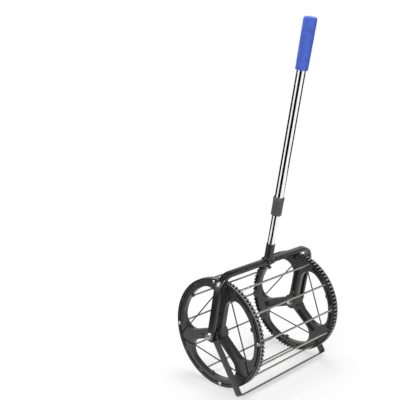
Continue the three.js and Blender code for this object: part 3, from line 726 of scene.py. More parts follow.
def wrapped(piece, pitch):
    """Adds a map of turns round and pitches along a piece that lies along Z."""
    layer = piece.data.uv_layers.new(name="Wrap")
    for face in piece.data.polygons:
        middle = math.atan2(face.center.y, face.center.x)
        for loop in face.loop_indices:
            spot = piece.data.vertices[piece.data.loops[loop].vertex_index].co
            turn = math.atan2(spot.y, spot.x)
            turn -= TURN * round((turn - middle) / TURN)
            layer.data[loop].uv = (turn / TURN, spot.z / pitch)


# Places

def on_wheel(radius, turn):
    """Y and Z from the axle, at an angle from the top towards the foot."""
    return (-radius * math.sin(turn), radius * math.cos(turn))


AXLE = Matrix.Translation(((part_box("hub_bush_left")[0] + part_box("hub_bush_right")[1]) / 2))


def leaned(turn):
    return AXLE @ Matrix.Rotation(turn, 4, "X")


def outwards(side):
    """Turns a piece along Z to point out of the drum on one side."""
    return Matrix.Rotation(side * QUARTER, 4, "Y")


def spoke_turns(wheel):
    return [wheel.turn + index * TURN / wheel.spokes for index in range(wheel.spokes)]


def rod_turn(wheel, rods, index):
    return wheel.turn + (index - 0.5) * TURN / rods.count


# Wheels

def tread_points(wheel):
    """Outlines of the ribbed tread and of the smooth lip where the ribs end."""
    pitch = TURN / wheel.rib_count
    crown_half = pitch * wheel.rib_crown / 2
    root_half = pitch * wheel.rib_root / 2
    crown = wheel.radius / math.cos(crown_half)
    root = wheel.radius - wheel.rib_height
    ribs, lip = [], []
    for rib in range(wheel.rib_count):
        middle = rib * pitch
        edges = [on_wheel(crown, middle - crown_half), on_wheel(crown, middle + crown_half)]
        ribs += [on_wheel(root, middle - root_half), *edges, on_wheel(root, middle + root_half)]
        lip += edges
    return ribs, lip


def window_half(wheel, steps):
    """Half of a window, as radius and angle from the middle of the spoke beside it."""
    hub, rim = wheel.hub_fillet, wheel.rim_fillet
    edge = wheel.radius - wheel.rim_depth
    hub_y = wheel.spoke_width / 2 + hub
    hub_x = math.sqrt((wheel.hub_radius + hub) ** 2 - hub_y ** 2)
    rim_y = wheel.spoke_width / 2 + rim
    rim_x = math.sqrt((edge - rim) ** 2 - rim_y ** 2)
    hub_turn = math.atan2(hub_y, hub_x) - math.pi
    rim_turn = math.atan2(rim_y, rim_x)
    spots = arc((hub_x, hub_y), (hub, hub), hub_turn, -QUARTER, steps)
    spots += arc((rim_x, rim_y), (rim, rim), -QUARTER, rim_turn, steps)
    points = [(math.hypot(x, y), math.atan2(y, x)) for x, y in spots]
    return points + even((edge, rim_turn), (edge, math.pi / wheel.spokes), steps)[1:]


def window_points(wheel, spoke, steps=12):
    half = window_half(wheel, steps)
    next_spoke = spoke + TURN / wheel.spokes
    start = [on_wheel(radius, spoke + turn) for radius, turn in half]
    end = [on_wheel(radius, next_spoke - turn) for radius, turn in reversed(half[:-1])]
    return start + end


def curved_points(radius, width, middle, span, steps=10):
    """A slot that follows the rim."""
    turns = [middle + (step / steps - 0.5) * span for step in range(steps + 1)]
    outer = [on_wheel(radius + width / 2, turn) for turn in turns]
    inner = [on_wheel(radius - width / 2, turn) for turn in reversed(turns)]
    return outer + inner


def band_points(start, end, width):
    """A straight slot from one point to another."""
    start, end = Vector(start), Vector(end)
    along = (end - start).normalized()
    aside = Vector((-along.y, along.x)) * width / 2
    return [start + aside, start - aside, end - aside, end + aside]


def knot_ends(wheel, cord, spoke):
    inset = math.asin(cord.knot_offset / cord.knot_radius)
    return (
        on_wheel(cord.knot_radius, spoke + inset),
        on_wheel(cord.knot_radius, spoke + TURN / wheel.spokes - inset),
    )


def hook_points(wheel, middle):
    """The small anchor that stands in from the rim at the middle of a window."""
    along = Vector(on_wheel(1.0, middle))
    aside = Vector((-along.y, along.x))
    edge = wheel.radius - wheel.rim_depth
    root, neck = edge + wheel.hook_thickness, edge - wheel.hook_rise
    tip = neck - wheel.hook_thickness
    stem, head = wheel.hook_stem / 2, wheel.hook_head / 2
    shape = [
        (root, -stem), (neck, -stem), (neck, -head), (tip, -stem),
        (tip, stem), (neck, head), (neck, stem), (root, stem),
    ]
    return [along * radius + aside * offset for radius, offset in shape]


def wheel_solid(wheel, rods, cord):
    """The left wheel, drawn about the axle, before its edges are rounded."""
    face = -wheel.outer_face
    back = face + wheel.rim_width
    before, behind = face - OVERRUN, back + OVERRUN
    hub_face, hub_back = face - wheel.hub_outside, back + wheel.hub_inside
    spokes = spoke_turns(wheel)
    ribs, lip = tread_points(wheel)
    body = prism(ribs, face + wheel.lip / 2, back)
    carved(body, [prism(lip, face, face + wheel.lip)], "UNION")
    carved(body, [prism(window_points(wheel, spoke), before, behind) for spoke in spokes])
    hook = face + wheel.hook_setback
    hooks = [
        prism(hook_points(wheel, spoke + math.pi / wheel.spokes), hook, hook + wheel.hook_width)
        for spoke in spokes
    ]
    hub = cylinder(wheel.hub_radius, hub_face, hub_back, (0, 0), FACETS["hub"])
    carved(body, [hub, *hooks], "UNION")
    bore = wheel.hub_bore / 2
    tools = [cylinder(bore, hub_face - OVERRUN, hub_back + OVERRUN, (0, 0), FACETS["bore"])]
    for spoke in spokes:
        centre = on_wheel(wheel.hole_radius, spoke)
        tools.append(
            cylinder(wheel.hole_width / 2, before, face + wheel.hole_depth, centre, FACETS["hole"]))
        ends = on_wheel(wheel.channel_start, spoke), on_wheel(wheel.channel_end, spoke)
        channel = band_points(*ends, wheel.channel_width)
        tools.append(prism(channel, back - wheel.channel_depth, behind))
    for index in range(rods.count):
        turn = rod_turn(wheel, rods, index)
        middle = turn + math.pi / rods.count
        centre = on_wheel(rods.circle, turn)
        socket = rods.diameter / 2 + FIT
        tools.append(cylinder(socket, back - rods.socket, behind, centre, FACETS["hole"]))
        groove = curved_points(
            wheel.groove_radius, wheel.groove_width, middle, wheel.groove_span)
        tools.append(prism(groove, before, face + wheel.groove_depth))
        pocket = curved_points(
            wheel.pocket_radius, wheel.pocket_width, middle, wheel.pocket_span)
        tools.append(prism(pocket, back - wheel.pocket_depth, behind))
    carved(body, tools)
    floor = face + cord.sink + cord.play
    ends = [knot_ends(wheel, cord, spoke) for spoke in spokes]
    carved(body, [
        prism(band_points(*pair, cord.diameter + 2 * cord.play), before, floor + cord.diameter / 2)
        for pair in ends
    ])
    radius, floor = cord.knot / 2 + cord.play, floor + cord.knot / 2
    carved(body, [
        cylinder(radius, before, floor, centre, FACETS["hole"]) for pair in ends for centre in pair
    ])
    return tidy(body)


class COLLECTOR_OT_wheels(bpy.types.Operator):
    """Make the two moulded wheels"""

    bl_idname = "collector.wheels"
    bl_label = "Wheels"

    def execute(self, context):
        scene = context.scene
        wheel = scene.collector_wheel
        solid = wheel_solid(wheel, scene.collector_rods, scene.collector_cord)
        mirror = Matrix.Scale(-1, 4, (1, 0, 0))
        twin = tidy(copied(solid, "moulded_wheel_right", mirror))
        solid.name = "moulded_wheel_left"
        for name, piece in (("left", solid), ("right", twin)):
            rounded(placed(piece, AXLE), wheel.edge)
            fitted(context, piece, "drum", "wheel_plastic", f"wheel_{name}")
        return {"FINISHED"}


# Rods and their screws

class COLLECTOR_OT_rods(bpy.types.Operator):
    """Make the steel rods between the wheels"""

    bl_idname = "collector.rods"
    bl_label = "Rods"

    def execute(self, context):
        wheel, rods = context.scene.collector_wheel, context.scene.collector_rods
        end = wheel.outer_face - wheel.rim_width + rods.socket - FIT
        radius, chamfer = rods.diameter / 2, rods.chamfer
        profile = [
            (0, -end), (radius - chamfer, -end), (radius, -end + chamfer),
            (radius, end - chamfer), (radius - chamfer, end), (0, end),
        ]
        first = lathe("rod", profile, FACETS["rod"])
        rounded(placed(first, outwards(SIDES["right"])))
        for index in range(rods.count):
            centre = on_wheel(rods.circle, rod_turn(wheel, rods, index))
            place = AXLE @ Matrix.Translation((0, *centre))
            piece = copied(first, f"steel_rod_{index + 1:02d}", place)
            fitted(context, piece, "drum", "rod_steel", f"rod_{index + 1:02d}")
        bpy.data.objects.remove(first)
        return {"FINISHED"}


def hexagon(across_flats):
    corner = across_flats / 2 / math.cos(math.pi / 6)
    return [on_wheel(corner, index * TURN / 6) for index in range(6)]


def domed_screw(name, sides, seat, head, shank, length, rim, dome):
    """A screw along Z, and the height at which its domed head ends in a flat.

    The dome is given by its height if it were whole, the degrees that it turns through from its
    rim and the steps in them.
    """
    rise, degrees, steps = dome
    curve = arc((0, seat + rim), (head / 2, rise), 0, math.radians(degrees), steps)
    flat = curve[-1][1]
    profile = [
        (0, seat - length), (shank / 2, seat - length), (shank / 2, seat), (head / 2, seat),
        *curve, (0, flat),
    ]
    return lathe(name, profile, sides), flat


class COLLECTOR_OT_tie_screws(bpy.types.Operator):
    """Make the socket screws that hold the drum together"""

    bl_idname = "collector.tie_screws"
    bl_label = "Tie screws"

    def execute(self, context):
        wheel, rods = context.scene.collector_wheel, context.scene.collector_rods
        screw, flat = domed_screw(
            "screw", FACETS["screw"], wheel.outer_face + FIT, rods.head_diameter, rods.shank,
            rods.shank_length, rods.head_rim, (rods.head_height - rods.head_rim, 63, 7),
        )
        key = outline("tool", [(y, z, flat - rods.key_depth) for y, z in hexagon(rods.key)])
        carved(screw, [extruded(key, (0, 0, 2 * rods.key_depth))])
        rounded(tidy(screw), EDGES["screw"], limit=40.0)
        for index in range(0, rods.count, rods.per_tie):
            centre = on_wheel(rods.circle, rod_turn(wheel, rods, index))
            label = f"{index + 1:02d}"
            for name, side in SIDES.items():
                place = AXLE @ Matrix.Translation((0, *centre)) @ outwards(side)
                piece = copied(screw, f"button_screw_{name}_{label}", place)
                fitted(context, piece, "drum", "zinc_plated_steel", f"tie_screw_{name}_{label}")
        bpy.data.objects.remove(screw)
        return {"FINISHED"}


# Cords

def knotted(cord, span):
    """A cord along Z with a knot at each end, twisted a little out of round."""
    thin, radius = cord.diameter / 2, cord.knot / 2
    line = lathe("cord", [(0, 0), (thin, 0), (thin, span), (0, span)], FACETS["cord"])
    knots = []
    for height in (0.0, span):
        select_only()
        bpy.ops.mesh.primitive_uv_sphere_add(
            segments=28, ring_count=18, radius=radius, location=(0, 0, height),
        )
        knot = bpy.context.object
        for corner in knot.data.vertices:
            turn = math.atan2(corner.co.y, corner.co.x)
            corner.co *= 0.93 + 0.06 * math.sin(2 * turn + corner.co.z / radius * 2.4)
        knots.append(knot)
    carved(line, knots, "UNION")
    rounded(tidy(line), limit=50.0)
    wrapped(line, cord.diameter * 0.8)
    return line


class COLLECTOR_OT_cords(bpy.types.Operator):
    """Make the elastic cords across the windows of the wheels"""

    bl_idname = "collector.cords"
    bl_label = "Cords"

    def execute(self, context):
        wheel, cord = context.scene.collector_wheel, context.scene.collector_cord
        start, end = (Vector(point) for point in knot_ends(wheel, cord, wheel.turn))
        line = knotted(cord, (end - start).length)
        for name, side in SIDES.items():
            for index, spoke in enumerate(spoke_turns(wheel)):
                start, end = (Vector((0, *point)) for point in knot_ends(wheel, cord, spoke))
                turn = (end - start).to_track_quat("Z", "X").to_matrix().to_4x4()
                foot = start + Vector((side * (wheel.outer_face - cord.sink), 0, 0))
                place = AXLE @ Matrix.Translation(foot) @ turn
                piece = copied(line, f"elastic_cord_{name}_{index + 1}", place)
                fitted(context, piece, "drum", "elastic_cord", f"cord_{name}_{index + 1}")
        bpy.data.objects.remove(line)
        return {"FINISHED"}


# Hubs

def ring_profile(bore, edge, low, high):
    return [(bore, low), (edge, low), (edge, high), (bore, high)]


def hex_solid(name, across_flats, low, high):
    """A hexagon along Z whose corners are turned off at the top."""
    flat = across_flats / 2
    corner = flat / math.cos(math.pi / 6)
    points = [(y, z, low) for y, z in hexagon(across_flats)]
    piece = extruded(outline(name, points), (0, 0, high - low))
    shoulder = high - (corner - flat) * 0.75 - 0.6 * MM
    blank = lathe("tool", [
        (0, low - MM), (corner + MM, low - MM), (corner + MM, shoulder), (flat * 0.97, high),
        (0, high),
    ], FACETS["ring"])
    return tidy(carved(piece, [blank], "INTERSECT"))


def threaded(name, radius, low, high, thread_high, pitch, depth):
    """A shank along Z with its thread at the low end."""
    profile = [(0, low), (radius - depth - 0.05 * MM, low)]
    height = low + 0.5 * MM
    while height < thread_high:
        profile += [(radius - depth, height), (radius, height + pitch / 2)]
        height += pitch
    profile += [(radius, high), (0, high)]
    return lathe(name, profile, FACETS["thread"])


class COLLECTOR_OT_hubs(bpy.types.Operator):
    """Make the bolts, nuts, washers, spacers and bushes of the hubs"""

    bl_idname = "collector.hubs"
    bl_label = "Hubs"

    def execute(self, context):
        size = context.scene.collector_hubs
        zinc = "zinc_plated_steel"
        nodes = (
            "hub_bush", "hub_spacer", "friction_washer", "outer_washer", "inner_washer",
            "hub_nut", "hub_bolt",
        )
        ends = {node: [corner.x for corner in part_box(f"{node}_right")] for node in nodes}
        bore = size.bolt / 2 + FIT
        low, high = ends["hub_bush"]
        step = high - size.flange_width
        bush = [
            (bore, low), (size.bush / 2, low), (size.bush / 2, step), (size.flange / 2, step),
            (size.flange / 2, high), (bore, high),
        ]
        bush = rounded(lathe("bush", bush, FACETS["ring"]), EDGES["bush"])
        shapes = {"hub_bush": (bush, "drum", "nylon")}
        for node, across, slot in (
            ("hub_spacer", size.spacer, "black_plastic"),
            ("friction_washer", size.friction_washer, "nylon"),
            ("outer_washer", size.washer, zinc),
            ("inner_washer", size.washer, zinc),
        ):
            ring = lathe(node, ring_profile(bore, across / 2, *ends[node]), FACETS["ring"])
            shapes[node] = (rounded(ring, EDGES["ring"]), "frame", slot)
        shapes["hub_bolt"] = (self.bolt(size, *ends["hub_bolt"], ends["hub_nut"][0]), "frame", zinc)
        shapes["hub_nut"] = (self.nut(size, *ends["hub_nut"], bore), "frame", zinc)
        for node, (shape, body, slot) in shapes.items():
            lean = context.scene.collector_frame.lean if body == "frame" else 0.0
            for name, side in SIDES.items():
                piece = copied(shape, f"{node}_fine_{name}", leaned(lean) @ outwards(side))
                fitted(context, piece, body, slot, f"{node}_{name}")
            bpy.data.objects.remove(shape)
        return {"FINISHED"}

    def bolt(self, size, low, high, thread_high):
        under_head = high - size.head_height
        head = hex_solid("head", size.across_flats, under_head, high)
        shank = threaded(
            "shank", size.bolt / 2, low, under_head + OVERRUN, thread_high, size.pitch,
            size.thread,
        )
        return rounded(tidy(carved(head, [shank], "UNION")), EDGES["hexagon"])

    def nut(self, size, low, high, bore):
        """A lock nut, its hexagon turned over after it is drawn, and bored once right through."""
        body = hex_solid("nut", size.across_flats, -high, -low - size.nut_ring_rise)
        body = placed(body, Matrix.Rotation(math.pi, 4, "X"))
        top, sides = low + size.nut_ring_height, FACETS["nut"]
        carved(body, [cylinder(size.nut_ring / 2, low, top, (0, 0), sides, along="Z")], "UNION")
        carved(body, [cylinder(bore, low - OVERRUN, high + OVERRUN, (0, 0), sides, along="Z")])
        return rounded(tidy(body), EDGES["hexagon"])


# Yoke and stand

def rounded_section(width, depth, corner, steps, centre, crown=0.0):
    """A rounded rectangle in the XY plane, its faces along Y perhaps a little full."""
    side, flat = width / 2 - corner, depth / 2 - corner
    spots = []
    for quarter, (right, up) in enumerate(((1, 1), (-1, 1), (-1, -1), (1, -1))):
        start = quarter * QUARTER
        spots += arc((right * side, up * flat), (corner, corner), start, start + QUARTER, steps)
        if crown and right == -up:
            heights = [1 - step / 6 for step in range(1, 12)]
            spots += [
                (right * (width / 2 + crown * (1 - height ** 2)), up * height * flat)
                for height in heights
            ]
    return [(centre[0] + x, centre[1] + y, centre[2]) for x, y in spots]


def hoop(name, section, half_span, height, bend, tail, steps):
    """A section carried up one side, over and down the other."""
    left = Vector((bend - half_span, 0, height - bend))
    right = Vector((half_span - bend, 0, height - bend))
    leg = height - bend + tail
    return bent(name, section, [
        ("run", (0, 0, leg)),
        ("bend", left, QUARTER, steps),
        ("run", (2 * (half_span - bend), 0, 0)),
        ("bend", right, QUARTER, steps),
        ("run", (0, 0, -leg)),
    ])


def bolted(context, piece, reach):
    """Bores the hole for the hub bolts through both legs of a piece."""
    radius = context.scene.collector_hubs.bolt / 2 + FIT
    return tidy(carved(piece, [cylinder(radius, -reach, reach, (0, 0), FACETS["bolt_hole"])]))


def pick_low_faces(piece):
    """Enters edit mode with the faces at the low end of a piece selected."""
    edit_all(piece)
    bpy.ops.mesh.select_mode(type="FACE")
    bpy.ops.mesh.select_all(action="DESELECT")
    bpy.ops.object.mode_set(mode="OBJECT")
    corners = piece.data.vertices
    low = min(corner.co.z for corner in corners) + NUDGE
    for face in piece.data.polygons:
        face.select = all(corners[index].co.z < low for index in face.vertices)
    bpy.ops.object.mode_set(mode="EDIT")


class COLLECTOR_OT_yoke(bpy.types.Operator):
    """Make the flat-tube yoke and the caps in its ends"""

    bl_idname = "collector.yoke"
    bl_label = "Yoke"

    def execute(self, context):
        size = context.scene.collector_frame
        foot = (-size.arm_middle, 0, -size.tail)
        section = rounded_section(
            size.arm_thickness, size.arm_width, size.arm_corner, 6, foot, crown=size.arm_crown)
        yoke = hoop(
            "flat_tube_yoke", section, size.arm_middle, size.height, size.bend, size.tail, 24)
        bolted(context, yoke, size.arm_middle + size.arm_thickness)
        rounded(yoke, EDGES["tube"], limit=50.0)
        fitted(context, placed(yoke, leaned(size.lean)), "frame", "black_paint", "yoke")
        for name, side in SIDES.items():
            self.make_cap(context, size, name, side)
        return {"FINISHED"}

    def make_cap(self, context, size, name, side):
        top = -size.tail - FIT
        section = rounded_section(
            size.arm_thickness, size.arm_width, size.arm_corner, 6, (0, 0, top))
        cap = extruded(outline(f"end_cap_{name}", section), (0, 0, -size.cap_length))
        pick_low_faces(cap)
        bpy.ops.mesh.bevel(offset=size.cap_round, segments=5, affect="EDGES")
        bpy.ops.object.mode_set(mode="OBJECT")
        section = rounded_section(size.plug_thickness, size.plug_width, MM, 3, (0, 0, top - MM))
        plug = extruded(outline("tool", section), (0, 0, size.plug_length))
        carved(cap, [plug], "UNION")
        rounded(tidy(cap), EDGES["cap"])
        place = leaned(size.lean) @ Matrix.Translation((side * size.arm_middle, 0, 0))
        fitted(context, placed(cap, place), "frame", "black_plastic", f"arm_cap_{name}")


class COLLECTOR_OT_stand(bpy.types.Operator):
    """Make the folding strip stand"""

    bl_idname = "collector.stand"
    bl_label = "Stand"

    def execute(self, context):
        size, wheel = context.scene.collector_frame, context.scene.collector_wheel
        lean, middle, half = size.stand_lean, size.strip_middle, size.strip_thickness / 2
        drop = wheel.radius - size.strip_width / 2 * math.sin(lean)
        drop = drop / math.cos(lean) - half
        section = rounded_section(
            size.strip_thickness, size.strip_width, 0.5 * MM, 2, (-middle, 0, 0))
        stand = hoop("strip_stand", section, middle, drop, size.strip_bend, 0.0, 12)
        eye, sides = size.strip_eye / 2, FACETS["ring"]
        spots = [side * middle for side in SIDES.values()]
        carved(
            stand, [cylinder(eye, spot - half, spot + half, (0, 0), sides) for spot in spots],
            "UNION",
        )
        bolted(context, stand, middle + size.strip_thickness)
        rounded(stand, EDGES["strip"], limit=50.0)
        placed(stand, leaned(math.pi - lean))
        fitted(context, stand, "stand", "black_paint", "stand")
        return {"FINISHED"}


# Pole

def level(node, end, lean):
    """Distance of a node's low or high end from the axle, along the leaning pole."""
    upright = leaned(lean).inverted()
    heights = [(upright @ corner.co).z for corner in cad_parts[node].data.vertices]
    return max(heights) if end == "top" else min(heights)


class COLLECTOR_OT_socket(bpy.types.Operator):
    """Make the pole socket with its saddle and screw"""

    bl_idname = "collector.socket"
    bl_label = "Pole socket"

    def execute(self, context):
        size, pole = context.scene.collector_frame, context.scene.collector_pole
        bar_top = size.height + size.arm_thickness / 2
        seat, foot = bar_top + FIT, bar_top - pole.saddle_drop
        top = seat + pole.saddle_wall
        inside = size.arm_width / 2 + FIT
        outside = inside + pole.saddle_wall
        shape = [
            (-outside, foot), (-inside, foot), (-inside, seat), (inside, seat), (inside, foot),
            (outside, foot), (outside, top), (-outside, top),
        ]
        saddle = prism(shape, -pole.saddle_length / 2, pole.saddle_length / 2)
        sleeve, edge = pole.socket_diameter / 2, 0.4 * MM
        wide, tall = pole.bead_width, pole.bead_height
        bead = arc((sleeve + wide, top + tall), (wide, tall), 3 * QUARTER, 2 * QUARTER, 6)
        barrel = lathe("barrel", [
            (0, top - MM), (bead[0][0], top - MM), *bead, (sleeve, pole.socket_top - edge),
            (sleeve - edge, pole.socket_top), (0, pole.socket_top),
        ], FACETS["socket"])
        carved(saddle, [barrel], "UNION")
        bore, hole = pole.lower_diameter / 2 + FIT, pole.screw_shank / 2 + FIT
        carved(saddle, [
            cylinder(bore, top, pole.socket_top + MM, (0, 0), FACETS["tube_bore"], along="Z"),
            cylinder(hole, 0, outside + MM, (0, size.height), FACETS["hole"], along="Y"),
        ])
        saddle.name = "saddle_socket"
        rounded(tidy(saddle), EDGES["socket"])
        place = leaned(size.lean)
        fitted(context, placed(saddle, place), "frame", "black_paint", "pole_socket")
        head = Matrix.Translation((0, outside + FIT, size.height))
        self.make_screw(context, pole, place @ head @ Matrix.Rotation(-QUARTER, 4, "X"))
        return {"FINISHED"}

    def make_screw(self, context, pole, place):
        """A cross-head screw, drawn along Z with the seat of its head at 0."""
        screw, _ = domed_screw(
            "saddle_screw", FACETS["small_screw"], 0, pole.screw_head, pole.screw_shank,
            pole.screw_length, pole.screw_rim, (pole.screw_dome, 80, 8),
        )
        slot = (3.6 * MM, 0.9 * MM, 2.4 * MM)
        bars = []
        for turn in (0, QUARTER):
            select_only()
            bpy.ops.mesh.primitive_cube_add(
                size=1, location=(0, 0, pole.screw_rim + pole.screw_dome),
                rotation=(0, 0, turn), scale=slot,
            )
            bars.append(bpy.context.object)
        carved(bars[0], [bars[1]], "UNION")
        carved(screw, [bars[0]])
        rounded(tidy(screw), EDGES["small_screw"])
        fitted(context, placed(screw, place), "frame", "zinc_plated_steel", "socket_screw")


class COLLECTOR_OT_tubes(bpy.types.Operator):
    """Make the two chrome tubes of the pole and coat the plugs inside them"""

    bl_idname = "collector.tubes"
    bl_label = "Tubes"

    def execute(self, context):
        lean, pole = context.scene.collector_frame.lean, context.scene.collector_pole
        for name, node, body, diameter in (
            ("chrome_tube_lower", "lower_tube", "frame", pole.lower_diameter),
            ("chrome_tube_upper", "upper_tube", "upper_pole", pole.upper_diameter),
        ):
            low, high = level(node, "bottom", lean), level(node, "top", lean)
            outer, lip = diameter / 2, pole.lip
            tube = lathe(name, [
                (outer - pole.wall, low), (outer - lip, low), (outer, low + lip),
                (outer, high - lip), (outer - lip, high), (outer - pole.wall, high),
            ], FACETS["tube"])
            placed(rounded(tube), leaned(lean))
            fitted(context, tube, body, "pole_chrome", node)
        for node, slot in (
            ("lower_tube_guide", "nylon"), ("grip_plug", "black_plastic"), ("lock_collet", "nylon"),
        ):
            coated(context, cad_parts[node], slot)
        return {"FINISHED"}


class COLLECTOR_OT_collar(bpy.types.Operator):
    """Make the fluted twist collar"""

    bl_idname = "collector.collar"
    bl_label = "Twist collar"

    def execute(self, context):
        pole = context.scene.collector_pole
        low, high = pole.collar_bottom, pole.collar_bottom + pole.collar_length
        body, ring, bevel = pole.collar_diameter / 2, pole.ring_diameter / 2, pole.collar_bevel
        mouth, bore = pole.lower_diameter / 2 + 2 * FIT, pole.upper_diameter / 2 + pole.collar_wall
        neck, floor = high - pole.ring_length, low + pole.collar_base
        groove, edge, rim, fade = 0.5 * MM, 0.6 * MM, 0.3 * MM, pole.flute_fade
        first, last = low + 2 * bevel, neck - fade
        profile = [
            (mouth, low), *arc((body - bevel, low + bevel), (bevel, bevel), -QUARTER, 0, 6),
            *even((body, first), (body, last), 10), (body, neck - edge),
            (body - groove, neck - groove), (body - groove, neck),
            (ring - edge, neck), (ring, neck + edge), (ring, high - MM),
            (ring - rim, high - rim), (ring - MM, high), (bore, high),
            (bore, floor), (mouth, floor),
        ]
        collar = lathe("fluted_collar", profile, pole.flutes * 8)

        def flute(spot, radius):
            inside = min(spot.z - first, last - spot.z) + NUDGE
            if radius < body - groove / 2 or inside < 0:
                return 0.0
            wave = max(0.0, math.cos(pole.flutes * math.atan2(spot.y, spot.x)))
            return pole.flute_depth * wave ** 2 * min(1.0, inside / fade)

        pressed(collar, flute)
        rounded(collar, limit=40.0)
        placed(collar, leaned(context.scene.collector_frame.lean))
        fitted(context, collar, "collar", "black_plastic", "twist_collar")
        return {"FINISHED"}


class COLLECTOR_OT_grip(bpy.types.Operator):
    """Make the foam grip"""

    bl_idname = "collector.grip"
    bl_label = "Foam grip"

    def execute(self, context):
        pole = context.scene.collector_pole
        top, low = pole.top, pole.top - pole.grip_length
        wide, narrow = pole.grip_top / 2, pole.grip_bottom / 2
        crown, foot = pole.grip_crown, pole.grip_foot
        seam, beside, groove = top - pole.seam_drop, 2 * MM, 0.4 * MM
        bore, inside = pole.upper_diameter / 2 + FIT, top - pole.grip_cover
        profile = [
            (bore, low), *arc((narrow - foot, low + foot), (foot, foot), -QUARTER, 0, 6),
            *even((narrow, low + 3 * MM), (wide, seam - beside), 20),
            *((wide - pole.seam_depth * math.exp(-(step / 2) ** 2), seam + step * groove)
              for step in range(-4, 5)),
            *even((wide, seam + beside), (wide, top - crown), 8),
            *arc((wide - crown, top - crown), (crown, crown), 0, QUARTER, 10)[1:],
            *even((wide - crown, top), (0, top), 4)[1:], (0, inside), (bore, inside),
        ]
        grip = lathe("foam_handle", profile, FACETS["tube"])

        def uneven(spot, radius):
            if radius <= bore + MM or spot.z >= top - MM:
                return 0.0
            bumps_to_a_metre, swell, sag = 45.0, 0.22 * MM, 0.1 * MM
            return max(0.0, sag - noise.noise(spot * bumps_to_a_metre) * swell)

        pressed(grip, uneven)
        rounded(grip, limit=50.0)
        placed(grip, leaned(context.scene.collector_frame.lean))
        fitted(context, grip, "upper_pole", "blue_foam", "foam_grip")
        return {"FINISHED"}


# Studio

CAMERA_PLACE = (-1.38775, -1.12462, 0.86681)
CAMERA_TURN = (math.radians(90 - 13.12), 0.0, math.radians(-45.925))
CAMERA_LENS = 65.05
SENSOR = 36.0
FLOOR_RADIUS = 2.4
FADE_START, FADE_END = 0.08, 0.48  # From the middle of the floor out to plain background
FADE_LEAST = 0.52  # Share of background in the floor under the object
CARD_DROP = 2 * MM
CANOPY = 2.6
YOKE_BEND = (-0.18, 0, 0.28)
# Dark cards, by near and far edge and by angle from the side where the camera stands
CARDS = {
    "flag_front": dict(near=0.5, far=9.0, start=-40, end=20),
    "flag_back_left": dict(near=0.5, far=1.5, start=-180, end=-95),
    "flag_far_left": dict(near=1.5, far=40.0, start=-180, end=-82, rise=2.0),
    "flag_back_right": dict(near=1.3, far=40.0, start=88, end=180),
    "flag_left": dict(near=0.5, far=1.0, start=-95, end=-50, tone=0.15),
    "flag_above_left": dict(near=0.01, far=4.0, start=-180, end=0, height=CANOPY),
    "flag_above_right": dict(near=0.01, far=4.0, start=0, end=180, height=CANOPY),
}
LAMPS = {
    "overhead": dict(place=(0.3, 0.5, 2.1), aim=(0, 0, 0.1), size=(1.3, 1.1), power=36),
    "left_box": dict(place=(-2.3, -0.5, 1.1), aim=(0, 0, 0.4), size=(0.7, 1.4), power=33),
    "right_box": dict(place=(0.4, -2.4, 1.1), aim=(0, 0, 0.4), size=(0.5, 1.6), power=25),
    "bend_glint": dict(
        place=(-1.76, 1.06, 1.08), aim=YOKE_BEND, size=(0.10, 0.80), power=20, glint=True),
    "corner_glint": dict(
        place=(-1.30, -1.54, 1.40), aim=YOKE_BEND, size=(0.4, 0.9), power=45, glint=True),
}


def softbox(name, place, aim, size, power, glint=False):
    """A lamp that lights dull surfaces, or one that only shiny surfaces mirror."""
    select_only()
    bpy.ops.object.light_add(type="AREA", location=place)
    lamp = bpy.context.object
    lamp.name = name
    lamp.rotation_euler = (Vector(aim) - Vector(place)).to_track_quat("-Z", "Y").to_euler()
    lamp.data.shape = "RECTANGLE"
    lamp.data.size, lamp.data.size_y = size
    lamp.data.energy = power
    lamp.visible_camera = False
    lamp.visible_diffuse = not glint
    lamp.visible_glossy = glint


def card(name, near, far, start, end, height=-CARD_DROP, rise=0.0, tone=0.01):
    """A flat dark card that only glossy surfaces show."""
    middle = math.atan2(CAMERA_PLACE[1], CAMERA_PLACE[0])
    start, end = middle + math.radians(start), middle + math.radians(end)
    rim = [(*spot, height + rise) for spot in arc((0, 0), (far, far), start, end, 16)]
    rim += [(*spot, height) for spot in arc((0, 0), (near, near), end, start, 16)]
    piece = outline(name, rim)
    finish = material(name)
    matte = finish.node("ShaderNodeBsdfDiffuse", {"Color": (tone, tone, tone, 1.0)})
    piece.data.materials.append(finish.done(matte))
    piece.visible_camera = piece.visible_diffuse = False
    piece.visible_shadow = piece.visible_transmission = False


def floor_finish(tint):
    """Pale floor that turns into the white background, away from the object."""
    finish = material("studio_floor")
    spot = finish.node("ShaderNodeTexCoord", {}, output="Object")
    distance = finish.node(
        "ShaderNodeVectorMath", {0: spot}, output="Value", operation="LENGTH")
    tone = finish.mix(finish.noise(spot, 3.0), shade(tint, 0.985), tint)
    matte = finish.node("ShaderNodeBsdfDiffuse", {"Color": tone})
    white = finish.node("ShaderNodeEmission", {"Strength": finish.backdrop()})
    far = finish.spread(distance, FADE_START, FADE_END, start=FADE_LEAST, kind="SMOOTHSTEP")
    return finish.done(finish.node("ShaderNodeMixShader", {0: far, 1: matte, 2: white}))


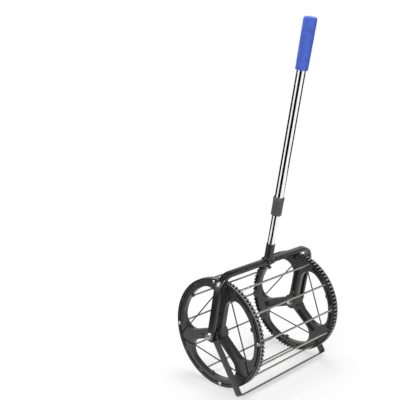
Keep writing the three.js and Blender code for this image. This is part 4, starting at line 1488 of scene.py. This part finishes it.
class COLLECTOR_OT_stage(bpy.types.Operator):
    """Make the floor, the lamps, the background and the camera"""

    bl_idname = "collector.stage"
    bl_label = "Studio"

    def execute(self, context):
        scene = context.scene
        select_only()
        bpy.ops.mesh.primitive_circle_add(vertices=128, radius=FLOOR_RADIUS, fill_type="NGON")
        floor = bpy.context.object
        floor.name = "floor"
        floor.data.materials.append(floor_finish(tuple(scene.collector_colours.floor)))
        floor.visible_glossy = False
        for name, values in CARDS.items():
            card(name, **values)
        sky = Finish(bpy.data.worlds.new("studio"), end="ShaderNodeOutputWorld")
        inputs = {"Color": (1.0, 1.0, 1.0, 1.0), "Strength": sky.backdrop()}
        scene.world = sky.done(sky.node("ShaderNodeBackground", inputs))
        for name, values in LAMPS.items():
            softbox(name, **values)
        bpy.ops.object.camera_add(location=CAMERA_PLACE, rotation=CAMERA_TURN)
        camera = bpy.context.object
        camera.data.lens = CAMERA_LENS
        camera.data.sensor_width = SENSOR
        scene.camera = camera
        scene.view_settings.view_transform = "Standard"
        return {"FINISHED"}


STEPS = (
    COLLECTOR_OT_stage, COLLECTOR_OT_wheels, COLLECTOR_OT_rods, COLLECTOR_OT_tie_screws,
    COLLECTOR_OT_cords, COLLECTOR_OT_hubs, COLLECTOR_OT_yoke, COLLECTOR_OT_stand,
    COLLECTOR_OT_socket, COLLECTOR_OT_tubes, COLLECTOR_OT_collar, COLLECTOR_OT_grip,
)
GROUPS = {
    "collector_wheel": CollectorWheelSizes,
    "collector_rods": CollectorRodSizes,
    "collector_cord": CollectorCordSizes,
    "collector_hubs": CollectorHubSizes,
    "collector_frame": CollectorFrameSizes,
    "collector_pole": CollectorPoleSizes,
    "collector_colours": CollectorColours,
}


class COLLECTOR_PT_panel(bpy.types.Panel):
    """Sizes, colours and steps of the collector"""

    bl_idname = "COLLECTOR_PT_panel"
    bl_label = "Ball collector"
    bl_space_type = "VIEW_3D"
    bl_region_type = "UI"
    bl_category = "Collector"

    def draw(self, context):
        for name, group in GROUPS.items():
            column = self.layout.box().column()
            for key in group.__annotations__:
                column.prop(getattr(context.scene, name), key)
        for step in STEPS:
            self.layout.operator(step.bl_idname)


def register():
    for item in (*GROUPS.values(), *STEPS, COLLECTOR_PT_panel):
        bpy.utils.register_class(item)
    for name, group in GROUPS.items():
        setattr(bpy.types.Scene, name, bpy.props.PointerProperty(type=group))


def unregister():
    for name in GROUPS:
        delattr(bpy.types.Scene, name)
    for item in reversed((*GROUPS.values(), *STEPS, COLLECTOR_PT_panel)):
        bpy.utils.unregister_class(item)


def main():
    register()
    for step in STEPS:
        getattr(bpy.ops.collector, step.bl_idname.split(".")[1])()


if __name__ == "__main__":
    main()
